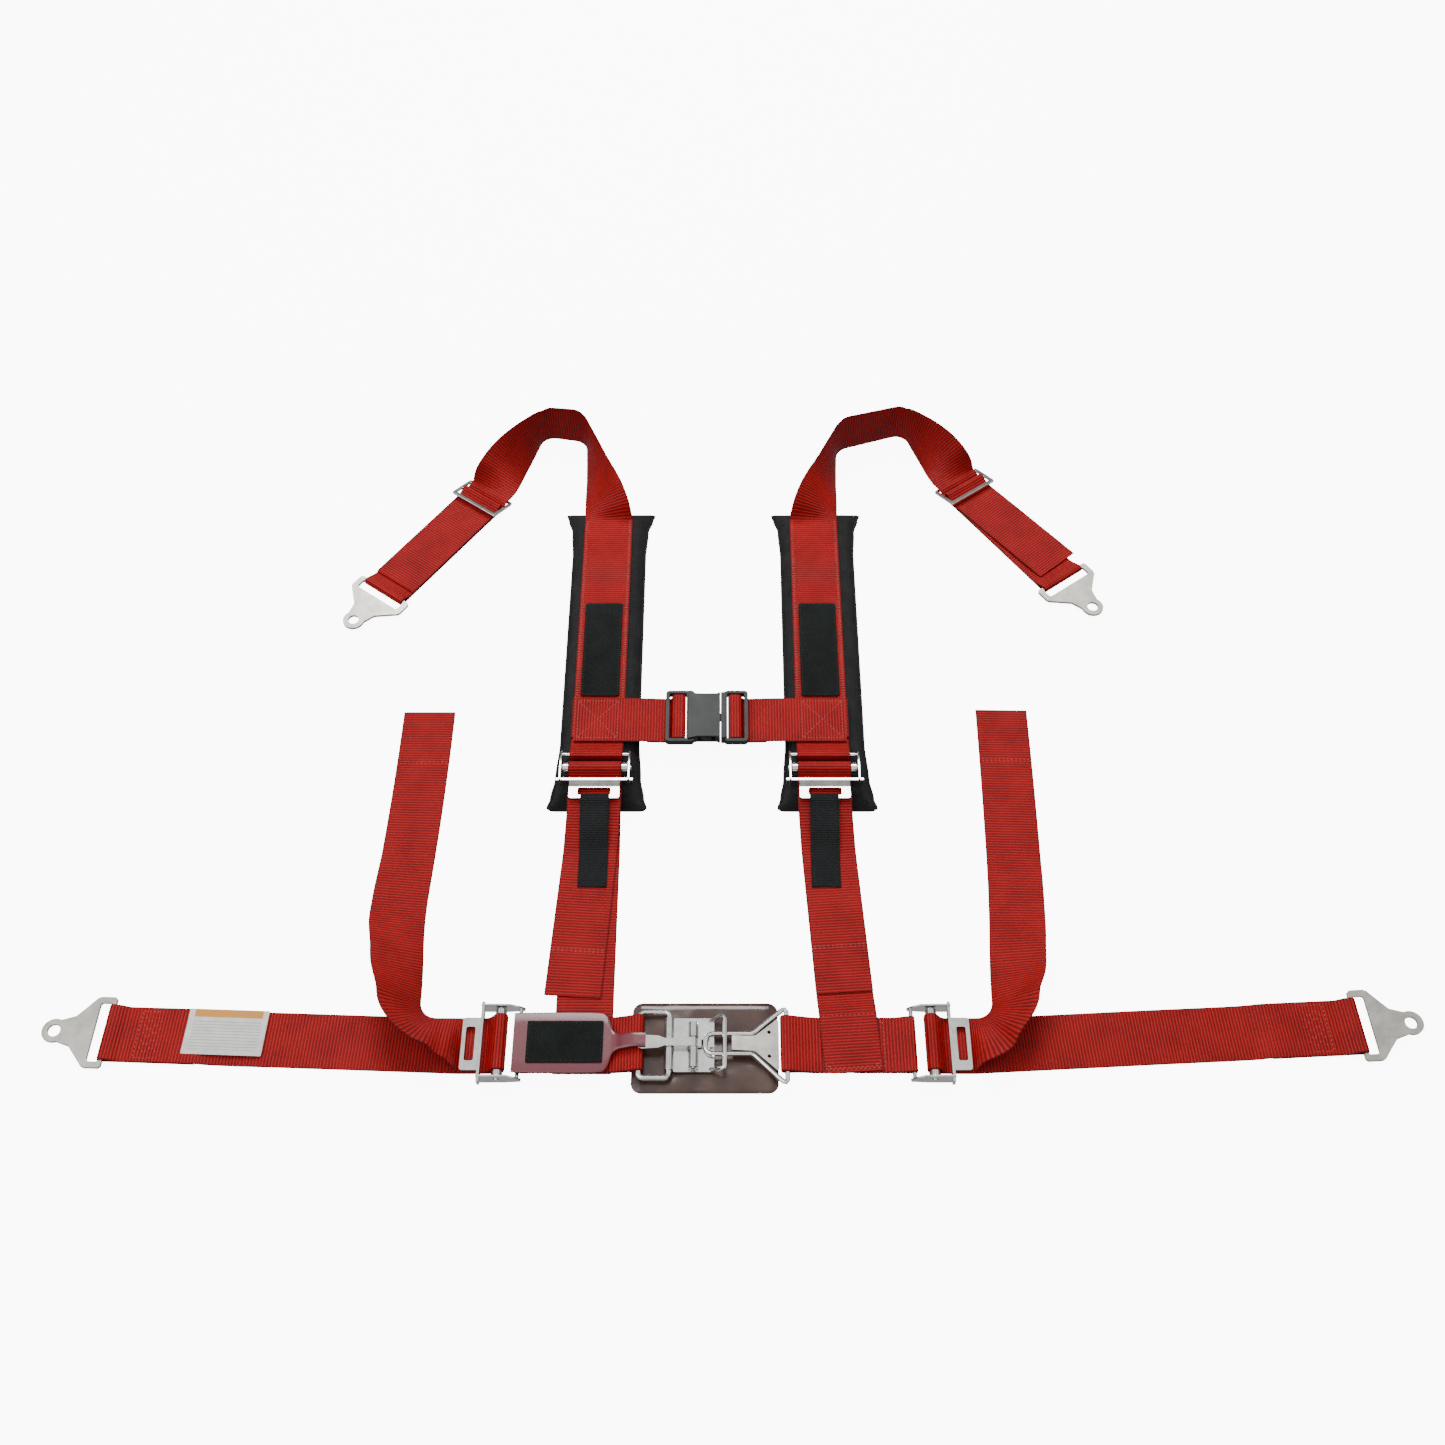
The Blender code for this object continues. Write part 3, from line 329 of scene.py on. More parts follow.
def plastic_look(name, colour, roughness, depth=0.05, scale=1400.0, **sockets):
    look = Look(name, colour, roughness, **sockets)
    tone = look.noise(30.0, 4.0)
    darker = tuple(c * 0.78 for c in colour)
    look.paint(look.ramp(tone, darker, colour, (0.3, 0.7)))
    look.rough(look.spread(look.noise(45.0, 3.0), roughness * 0.85, min(roughness * 1.25, 1.0)))
    look.bump(look.noise(scale, 2.0), depth, 0.5)
    return look.material


def vinyl_look():
    """Glossy brown sheet over a soft filling, with slack creases that catch the light."""
    look = Look("brown_vinyl", (0.07, 0.035, 0.028), 0.2, Coat_Weight=0.55, Coat_Roughness=0.05,
                Specular_IOR_Level=0.3)
    look.paint(look.ramp(look.noise(26.0, 5.0), (0.030, 0.013, 0.010), (0.095, 0.050, 0.040), (0.3, 0.72)))
    crease = look.noise(22.0, 1.5)
    fold = look.bump(crease, 8.0, 0.9)
    look.bump(look.noise(900.0, 2.0), 0.03, 0.5, fold)
    look.rough(look.spread(look.noise(70.0, 3.0), 0.12, 0.3))
    return look.material


def label_look():
    """White cloth with an orange heading band and grey rules in place of text."""
    look = Look("label_cloth", (0.72, 0.72, 0.69), 0.75, Sheen_Weight=0.1)
    strap = look.node("ShaderNodeAttribute", attribute_name="strap").outputs["Vector"]
    parts = look.node("ShaderNodeSeparateXYZ", {0: strap})
    across, along = parts.outputs[0], parts.outputs[1]
    band = look.maths("GREATER_THAN", across, 0.0135)
    rules = look.maths("GREATER_THAN", look.maths("SINE", look.maths("MULTIPLY", across, 2200.0)), 0.45)
    inside = look.maths("MULTIPLY", look.maths("LESS_THAN", across, 0.0105),
                        look.maths("GREATER_THAN", across, -0.0165))
    margin = look.maths("LESS_THAN", look.maths("ABSOLUTE", along), 0.030)
    ink = look.maths("MULTIPLY", look.maths("MULTIPLY", rules, inside), margin)
    cloth = look.ramp(look.noise(120.0, 4.0), (0.60, 0.60, 0.57), (0.76, 0.76, 0.73), (0.3, 0.7))
    colour = cloth
    for factor, tint in ((look.maths("MULTIPLY", ink, 0.55), (0.30, 0.30, 0.30)),
                         (look.maths("MULTIPLY", band, margin), (0.62, 0.27, 0.05))):
        mixed = look.node("ShaderNodeMix", {"Factor": factor}, data_type="RGBA")
        look.tree.links.new(colour, mixed.inputs[6])
        mixed.inputs[7].default_value = (*tint, 1.0)
        colour = mixed.outputs[2]
    look.paint(colour)
    look.bump(look.noise(2200.0, 2.0), 0.08, 0.6)
    return look.material


# The second colour of each webbing is painted shade for the grooves between its ribs.
RED = webbing_look("red_webbing", (0.40, 0.007, 0.008), (0.075, 0.001, 0.0015), (0.05, 0.002, 0.004))
BLACK_WEB = webbing_look("black_webbing", (0.014, 0.015, 0.016), (0.004, 0.004, 0.005),
                         (0.006, 0.006, 0.007), 1.6, 0.02, 0.12)
CANVAS = woven_look("black_canvas", (0.003, 0.003, 0.0035), (0.016, 0.016, 0.017), 1.3, 0.7)
PILE = woven_look("hook_pile", (0.003, 0.005, 0.0045), (0.009, 0.013, 0.012), 1.9, 0.95, 0.6)
CHROME = metal_look("chromed_steel", (0.86, 0.86, 0.84), (0.66, 0.66, 0.64), 0.09)
ZINC = metal_look("zinc_plated_steel", (0.66, 0.64, 0.58), (0.46, 0.44, 0.39), 0.26, 0.16)
PLASTIC = plastic_look("black_plastic", (0.021, 0.023, 0.024), 0.42, Specular_IOR_Level=0.22)
TINTED = plastic_look("pink_tinted_plastic", (0.15, 0.016, 0.030), 0.3, 0.12, 500.0, Coat_Weight=0.4,
                      Coat_Roughness=0.15)
VINYL = vinyl_look()
LABEL = label_look()
RED_THREAD = plastic_look("red_thread", (0.42, 0.075, 0.065), 0.7)
BLACK_THREAD = plastic_look("black_thread", (0.014, 0.014, 0.016), 0.8)


# ---------------------------------------------------------------- building pieces
def finish_piece(name, mesh, look, body, replaced=()):
    """A named object on its body, with its finish and the CAD node that it stands for."""
    made = bpy.data.objects.new(name, mesh)
    bpy.context.scene.collection.objects.link(made)
    made.data.materials.clear()
    made.data.materials.append(look)
    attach(made, body)
    if replaced:
        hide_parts(*replaced)
    return made


def rounded(mesh):
    mesh.polygons.foreach_set("use_smooth", [True] * len(mesh.polygons))


def smooth(mesh, degrees):
    """Smooth shading, kept sharp where faces meet at more than this angle."""
    rounded(mesh)
    mesh.set_sharp_from_angle(angle=math.radians(degrees))


def written(shape, name):
    """The finished bmesh as a new mesh."""
    mesh = bpy.data.meshes.new(name)
    shape.to_mesh(mesh)
    shape.free()
    return mesh


def facing_out(mesh):
    """Turn all faces of a closed mesh outwards."""
    shape = bmesh.new()
    shape.from_mesh(mesh)
    bmesh.ops.recalc_face_normals(shape, faces=shape.faces)
    shape.to_mesh(mesh)
    shape.free()


def spline(values, spacing=3.0):
    """Centripetal Catmull-Rom through (centre, side) stations, about one station per spacing."""
    out = []
    last = len(values) - 1
    for i in range(last):
        quad = [values[max(i - 1, 0)], values[i], values[i + 1], values[min(i + 2, last)]]
        knots = [0.0]
        for a, b in zip(quad, quad[1:]):
            knots.append(knots[-1] + max((b[0] - a[0]).length, 1e-3) ** 0.5)
        t0, t1, t2, t3 = knots
        count = max(1, min(24, round((quad[2][0] - quad[1][0]).length / spacing)))
        if (quad[2][0] - quad[1][0]).length < 4.5:
            count = 2
        for k in range(count):
            t = t1 + (t2 - t1) * k / count
            point = []
            for j in (0, 1):
                p0, p1, p2, p3 = (q[j] for q in quad)
                a1 = p0.lerp(p1, (t - t0) / (t1 - t0)) if i else p1
                a2 = p1.lerp(p2, (t - t1) / (t2 - t1))
                a3 = p2.lerp(p3, (t - t2) / (t3 - t2)) if i < last - 1 else p2
                b1 = a1.lerp(a2, (t - t0) / (t2 - t0))
                b2 = a2.lerp(a3, (t - t1) / (t3 - t1))
                point.append(b1.lerp(b2, (t - t1) / (t2 - t1)))
            out.append(tuple(point))
    out.append(values[-1])
    return out


COLUMNS = (-1.0, -0.985, -0.93, -0.6, -0.2, 0.2, 0.6, 0.93, 0.985, 1.0)


def swept(name, stations, look, body, replaced, thickness=WEB, spacing=3.0):
    """A strap with rounded edges, swept through its stations."""
    stations = spline(stations, spacing)
    count, wide = len(stations), len(COLUMNS)
    length, vertices, coords = 0.0, [], []
    ring = [(c, 1.0 - 0.75 * max(0.0, (abs(c) - 0.93) / 0.07) ** 2) for c in COLUMNS]
    loop = [(c, up) for c, up in ring] + [(c, -up) for c, up in reversed(ring)]
    for i, (centre, side) in enumerate(stations):
        before, after = stations[max(i - 1, 0)][0], stations[min(i + 1, count - 1)][0]
        if i:
            length += (centre - before).length
        normal = side.cross(after - before).normalized()
        for c, up in loop:
            vertices.append((centre + side * c - normal * (up * thickness / 2)) * MM)
            coords.append((c * side.length * MM, length * MM, 0.0))
    n = 2 * wide
    faces = [(i * n + k, i * n + (k + 1) % n, (i + 1) * n + (k + 1) % n, (i + 1) * n + k)
             for i in range(count - 1) for k in range(n)]
    for base, flip in ((0, True), ((count - 1) * n, False)):
        for k in range(wide - 1):
            quad = (base + k, base + k + 1, base + n - 2 - k, base + n - 1 - k)
            faces.append(quad[::-1] if flip else quad)
    mesh = bpy.data.meshes.new(name)
    mesh.from_pydata(vertices, [], faces)
    attribute = mesh.attributes.new("strap", "FLOAT_VECTOR", "POINT")
    attribute.data.foreach_set("vector", [v for co in coords for v in co])
    facing_out(mesh)
    smooth(mesh, 50.0)
    made = finish_piece(name, mesh, look, body, replaced)
    return made


def patch(name, x0, y0, x1, y1, z, thickness, look, body, replaced, at=None, radius=2.0):
    """A thin sewn piece with rounded corners and soft edges; z is its underside."""
    shape = bmesh.new()
    outline = rounded_box(x0, y0, x1, y1, radius, 5)
    ring = [shape.verts.new((x, y, z)) for x, y in outline]
    face = shape.faces.new(ring)
    lifted = bmesh.ops.extrude_face_region(shape, geom=[face])
    moved = [v for v in lifted["geom"] if isinstance(v, bmesh.types.BMVert)]
    bmesh.ops.translate(shape, verts=moved, vec=(0, 0, thickness))
    bmesh.ops.recalc_face_normals(shape, faces=shape.faces)
    rim = [e for e in shape.edges if len(e.link_faces) == 2 and e.calc_face_angle() > 1.2]
    bmesh.ops.bevel(shape, geom=rim, offset=thickness * 0.3, segments=2, affect="EDGES", profile=0.5)
    layer = shape.verts.layers.float_vector.new("strap")
    middle = Vector(((x0 + x1) / 2, (y0 + y1) / 2, 0.0))
    for vertex in shape.verts:
        offset = (vertex.co - middle) * MM
        vertex[layer] = (offset.y, offset.x, 0.0)
        vertex.co = ((at or Matrix()) @ vertex.co) * MM
    mesh = written(shape, name)
    smooth(mesh, 40.0)
    made = finish_piece(name, mesh, look, body, replaced)
    return made


def refined(node, look, bevel=0.35, angle=38.0):
    """A copy of a metal or plastic CAD node with softened edges and smooth round faces."""
    shape = bmesh.new()
    shape.from_mesh(frame["nodes"][node].data)
    bmesh.ops.remove_doubles(shape, verts=shape.verts, dist=0.000005)
    bmesh.ops.dissolve_limit(shape, angle_limit=math.radians(0.6), verts=shape.verts, edges=shape.edges)
    mesh = written(shape, f"{node}_refined")
    body = next(b for b, nodes in frame["record"]["behaviour"]["bodies"].items() if node in nodes)
    made = finish_piece(f"{node}_surface", mesh, look, body, (node,))
    edge = made.modifiers.new("softened", "BEVEL")
    edge.width = bevel * MM
    edge.segments = 2
    edge.limit_method = "ANGLE"
    edge.angle_limit = math.radians(angle)
    edge.use_clamp_overlap = True
    edge.harden_normals = False
    smooth(mesh, angle)
    even = made.modifiers.new("even_normals", "WEIGHTED_NORMAL")
    even.keep_sharp = True
    return made


def stitches(name, runs, z, look, body, at=None, length=2.7, pitch=3.7, thread=0.42):
    """Rows of short raised threads along straight runs of a flat surface at height z."""
    shape = bmesh.new()
    for (x0, y0), (x1, y1) in runs:
        run = Vector((x1 - x0, y1 - y0, 0.0))
        count = max(1, int(run.length / pitch))
        heading = math.atan2(run.y, run.x)
        for k in range(count):
            spot = Vector((x0, y0, z)) + run * ((k + 0.5) / count)
            turn = (at or Matrix()) @ Matrix.Translation(spot) @ Matrix.Rotation(heading, 4, "Z")
            size = Matrix.Diagonal((length / 2, thread, thread * 0.8, 1.0))
            bmesh.ops.create_uvsphere(shape, u_segments=6, v_segments=4, radius=1.0, matrix=turn @ size)
    for vertex in shape.verts:
        vertex.co *= MM
    mesh = written(shape, name)
    rounded(mesh)
    return finish_piece(name, mesh, look, body)


def box_runs(x0, y0, x1, y1, crossed=True):
    runs = [((x0, y0), (x1, y0)), ((x1, y0), (x1, y1)), ((x1, y1), (x0, y1)), ((x0, y1), (x0, y0))]
    return runs + ([((x0, y0), (x1, y1)), ((x0, y1), (x1, y0))] if crossed else [])


def zigzag(x0, y0, x1, y1, count):
    """A saw-tooth row from one end to the other, along local X."""
    points = [(x0 + (x1 - x0) * i / count, y1 if i % 2 else y0) for i in range(count + 1)]
    return list(zip(points, points[1:]))


# ---------------------------------------------------------------- strap routes (as in the CAD)
def around_lock_bar(rise):
    """Webbing comes in low, wraps the lock bar and leaves as a second layer above itself."""
    wrap = LOCK_BAR_RADIUS + WRAP
    z = rise + LOCK_BAR_Z
    low = rise + FLOOR_LAYER
    path = [(30.0, low), (10.0, low + 0.2)]
    path += arc(0.0, z, wrap, 270, 35, 14)
    path += [(9.4, z - 3.2), (12.4, low + LAYER + 0.5), (15.5, low + LAYER), (31.0, low + LAYER)]
    return path


def lap_belt(side):
    spec = LAP[side]
    turn = 1.0 if side == "right" else -1.0
    at = place(*spec["lock"], spec["heading"])
    length = spec["length"]
    path = [(length - ANCHOR_UNDERLAP, FLOOR_LAYER), (length - 12, FLOOR_LAYER)]
    path += arc(length, ANCHOR_BAR_LIFT, ANCHOR_WRAP, -90, 90, 8)
    path += [(length - 6, ANCHOR_BAR_LIFT + 2.2), (length - 14, SECOND_LAYER + 0.1),
             (length - 20, SECOND_LAYER), (length - ANCHOR_UNDERLAP - 3, SECOND_LAYER),
             (length - ANCHOR_UNDERLAP - 12, FLOOR_LAYER), (length / 2, FLOOR_LAYER),
             (SLANT_FROM + 20, FLOOR_LAYER), (SLANT_FROM, FLOOR_LAYER)]
    path += around_lock_bar(0.0)
    stations = flat_run(at, path, bend_at=SLANT_FROM, bend=spec["slant"])
    plan = walk((34.0, turn * WEB_WIDTH / 2), 0.0,
                [(spec["turn_at"] - 34.0, 0.0), (22.0, turn * 88.0),
                 *[(run, turn * angle) for run, angle in spec["drift"]]])
    corner = spec["turn_at"] - 34.0 + 11.0
    high, middle, low = spec["bank"]
    banks = [(0, 0), (11, 28), (corner, high), (corner + 55, middle), (corner + 115, low),
             (corner + 165, 0)]
    heights = [(0, SECOND_LAYER + 0.2), (corner + 8, SECOND_LAYER + 0.6), (corner + 40, 1.0),
               (corner + 120, FLOOR_LAYER)]
    tail = banked_run(at, plan, turn, lambda s: eased(banks, s), heights)
    node, body = f"lap_strap_{side}", f"lap_belt_{side}"
    swept(f"lap_belt_webbing_{side}", stations + tail, RED, body, (node,))
    top = SECOND_LAYER + WEB / 2
    outer = bent(at, SLANT_FROM, spec["slant"])
    x0, x1 = length - ANCHOR_UNDERLAP + 3, length - 26.0
    runs = box_runs(x0, -SEAM, x1, SEAM, False)
    for y in (-14.0, -7.0, 0.0, 7.0, 14.0):
        runs += zigzag(x0 + 3, y - 3.0, x1 - 3, y + 3.0, 8)
    stitches(f"lap_anchor_stitching_{side}", runs, top, RED_THREAD, body, outer)
    end, across = tail[-1]
    heading = math.degrees(math.atan2(-across.x, across.y))
    hem = place(end.x, end.y, heading)
    inward = -1.0 if (end - tail[-2][0]).dot(hem.to_3x3() @ Vector((1, 0, 0))) > 0 else 1.0
    runs = [((inward * x, -HEM), (inward * x, HEM)) for x in (58.0, 60.5)]
    stitches(f"lap_tail_stitching_{side}", runs, FLOOR_LAYER + WEB / 2, RED_THREAD, body, hem)


def inner_strap(side, buckle, outer_x):
    """A sewn loop from a bar of the buckle to the adjuster's cross bar at outer_x."""
    inner_z, slack = buckle["bar_z"], buckle.get("slack", 0.0)
    at = place(0.0, BELT_Y, 0.0 if side == "right" else 180.0)
    a, b = abs(buckle["bar_x"]), abs(outer_x)
    ra, rb = buckle["r"] + WRAP, CROSS_BAR_RADIUS + WRAP
    low, high = SECOND_LAYER, THIRD_LAYER
    middle = (a + b) / 2
    path = [(middle + 3, low), (b - 12, low), (b - 5, CROSS_BAR_Z - rb + 0.05)]
    path += arc(b, CROSS_BAR_Z, rb, -90, 90, 8)
    path += [(b - 6, CROSS_BAR_Z + rb - 1.2), (b - 14, high + 0.2), (b - 20, high), (a + 26, high),
             (a + 12, (high + inner_z + ra) / 2), (a + 0.5, inner_z + ra)]
    path += arc(a - slack, inner_z, ra, 90, 270, 10)
    path += [(a, inner_z - ra), (a + 10, (low + inner_z - ra) / 2 + 0.9), (a + 23, low), (middle - 3, low)]
    node = f"inner_lap_strap_{side}"
    swept(f"inner_lap_webbing_{side}", flat_run(at, path), RED, "harness", (node,))
    x0, x1 = (a + 30, b - 22) if side == "left" else (a + 34, a + 84)
    stitches(f"inner_lap_stitching_{side}", box_runs(x0, -SEAM, x1, SEAM), high + WEB / 2, RED_THREAD,
             "harness", at)


def lower_strap(side):
    spec = SHOULDER[side]
    at = place(spec["x"], SHOULDER_Y, -90.0)
    low = SHOULDER_RISE + FLOOR_LAYER
    pad_end = SHOULDER_Y - SHOULDER_PAD["low"]
    end_z = FLOOR_LAYER if side == "left" else FLOOR_LAYER + 3 * LAYER
    under = [(LOWER_STRAP_END, end_z), (243.0, end_z), (225.0, FLOOR_LAYER), (160.0, FLOOR_LAYER),
             (pad_end + 46, FLOOR_LAYER), (pad_end + 41, FLOOR_LAYER + 0.6),
             (pad_end + 2, low - 1.6), (pad_end - 3, low - 0.2)]
    stations = flat_run(at, under, bend_at=BEND_FROM, bend=spec["drift"])
    stations += flat_run(at, around_lock_bar(SHOULDER_RISE))
    over = [(pad_end - 1.5, low + LAYER - 0.1), (pad_end + 3, low + LAYER - 1.5),
            (pad_end + 43, SECOND_LAYER + 0.7), (pad_end + 48, SECOND_LAYER),
            (130.0, SECOND_LAYER), (spec["tail_end"], SECOND_LAYER)]
    stations += flat_run(at, over, bend_at=BEND_FROM, bend=spec["tail_drift"])
    node = f"lower_shoulder_strap_{side}"
    swept(f"lower_shoulder_webbing_{side}", stations, RED, "harness", (node,))
    tail = bent(at, BEND_FROM, spec["tail_drift"])
    x = spec["tail_end"] - 46.0
    stitches(f"lower_tail_stitching_{side}", [((x + d, -HEM), (x + d, HEM)) for d in (0.0, 2.4)],
             SECOND_LAYER + WEB / 2, RED_THREAD, "harness", tail)
    if side == "right":
        foot = bent(at, BEND_FROM, spec["drift"])
        runs = box_runs(247.0, -SEAM, 293.0, SEAM) + box_runs(245.0, -23.5, 295.0, 23.5, False)
        stitches("lap_joint_stitching", runs, end_z + WEB / 2, RED_THREAD, "harness", foot)


def pull_tab(side):
    spec = SHOULDER[side]
    at = place(spec["x"] + (1.0 if side == "left" else -1.0), SHOULDER_Y, -90.0)
    pivot_u, pivot_z = 31.25, SHOULDER_RISE + 6.2
    low = SHOULDER_RISE + FLOOR_LAYER
    pad_end = SHOULDER_Y - SHOULDER_PAD["low"]
    path = [(pad_end + 22, low + 2 * LAYER - 7.4), (pad_end + 5, low + 2 * LAYER - 1.3),
            (pivot_u + 1.5, pivot_z - 2.7)]
    path += arc(pivot_u, pivot_z, 2.7, 270, 90, 8)
    path += [(pivot_u + 3, pivot_z + 2.2), (pad_end + 6, low + 3 * LAYER - 0.2),
             (pad_end + 24, low + 3 * LAYER - 6.2), (pad_end + 45, THIRD_LAYER + 1.0),
             (pad_end + 52, THIRD_LAYER + 0.2), (117.0, THIRD_LAYER)]
    node = f"pull_tab_{side}"
    swept(f"pull_tab_cloth_{side}", flat_run(at, path, 13.5), BLACK_WEB, node, (node,), 1.0)
    top = THIRD_LAYER + 0.5
    stitches(f"pull_tab_stitching_{side}", box_runs(97.0, -10.5, 114.0, 10.5, False), top, BLACK_THREAD,
             node, at)


def shoulder_strap(side):
    spec = SHOULDER[side]
    turn = 1.0 if side == "left" else -1.0
    at = place(spec["x"], SHOULDER_Y, 90.0)
    on_pad = SHOULDER_PAD["thick"] + WRAP
    bar_z = SHOULDER_RISE + CROSS_BAR_Z
    path = [(62.0, on_pad), (24.0, on_pad), (16.2, on_pad + 0.35)]
    path += arc(16.2, on_pad + 3.2, 2.85, 255, 180, 4)
    path += arc(16.2, bar_z - 0.2, 2.85, 180, 90, 5)
    path += [(CROSS_BAR_X + 2, bar_z + 2.4), (25.0, 19.6), (32.0, 16.2), (36.0, on_pad + LAYER),
             (64.0, on_pad + LAYER), (73.0, on_pad), (120.0, on_pad), (200.0, on_pad), (260.0, on_pad),
             (312.0, on_pad)]
    stations = flat_run(at, path)
    first, second = spec["arch_turns"]
    plan = walk((318.0, turn * WEB_WIDTH / 2), turn * 2.0,
                [(spec["rise"], 0.0), (22.0, turn * first), (spec["arch_run"], 0.0),
                 (22.0, turn * second), (spec["fall"], 0.0), (26.0, turn * spec["swing"])])
    top = spec["rise"] + 7
    down = top + spec["arch_run"] + 30
    end = travelled(plan)[-1]

    def bank_at(s):
        """On edge around the arch, tipping inwards as it comes down, and flat at both ends."""
        if s < top:
            return 90.0 * (s / top) ** 0.6
        if s < down:
            return 90.0 + 4.0 * (s - top) / (down - top)
        return 94.0 * (max(end - 3.0 - s, 0.0) / (end - 3.0 - down)) ** 0.8

    heights = [(0, on_pad), (18, on_pad), (70, 1.2), (top, FLOOR_LAYER), (down, FLOOR_LAYER),
               (end - 8, 4.4), (end, 5.0)]
    stations += banked_run(at, plan, turn, bank_at, heights)
    x, y, heading = plan[-1]
    out = at @ place(x, y, heading) @ Matrix.Translation((SLIDE_REACH, -turn * WEB_WIDTH / 2, 0.0))
    stations += flat_run(out, through_slide())
    stations += flat_run(out, slide_tail(), bend_at=SLIDE_BEND_AT, bend=spec["tail_bend"])
    node = f"shoulder_strap_{side}"
    swept(f"shoulder_webbing_{side}", stations, RED, "harness", (node,))
    surface = on_pad + WEB / 2
    runs = [((68.0, y), (318.0, y)) for y in (-23.4, 23.4)]
    runs += zigzag(68.0, -23.4, 318.0, -20.8, 84) + zigzag(68.0, 23.4, 318.0, 20.8, 84)
    stitches(f"shoulder_stitching_{side}", runs, surface, RED_THREAD, "harness", at)


def through_slide():
    """Over the rear bar, under the middle, around the anchor, back, and over the middle bar."""
    path = [(-11.5, 5.0), (-8.8, 4.0), (-4.0, 1.2), (2.0, FLOOR_LAYER),
            (40.0, FLOOR_LAYER), (ANCHOR_RUN - 8, FLOOR_LAYER)]
    path += arc(ANCHOR_RUN, ANCHOR_BAR_LIFT, ANCHOR_WRAP, -90, 90, 8)
    path += [(ANCHOR_RUN - 7, 4.4), (ANCHOR_RUN - 13, SECOND_LAYER), (30.0, SECOND_LAYER),
             (6.0, SECOND_LAYER + 0.05)]
    path += arc(0.0, SLIDE_BAR_Z, 3.1, 262, 70, 10)
    path += [(6.5, 4.9), (10.5, THIRD_LAYER + 0.1)]
    return path


def slide_tail():
    """The free end lies on the two layers below it, and may lie at a slight angle to them."""
    return [(SLIDE_BEND_AT, THIRD_LAYER), (40.0, THIRD_LAYER), (ANCHOR_RUN - 16, THIRD_LAYER)]


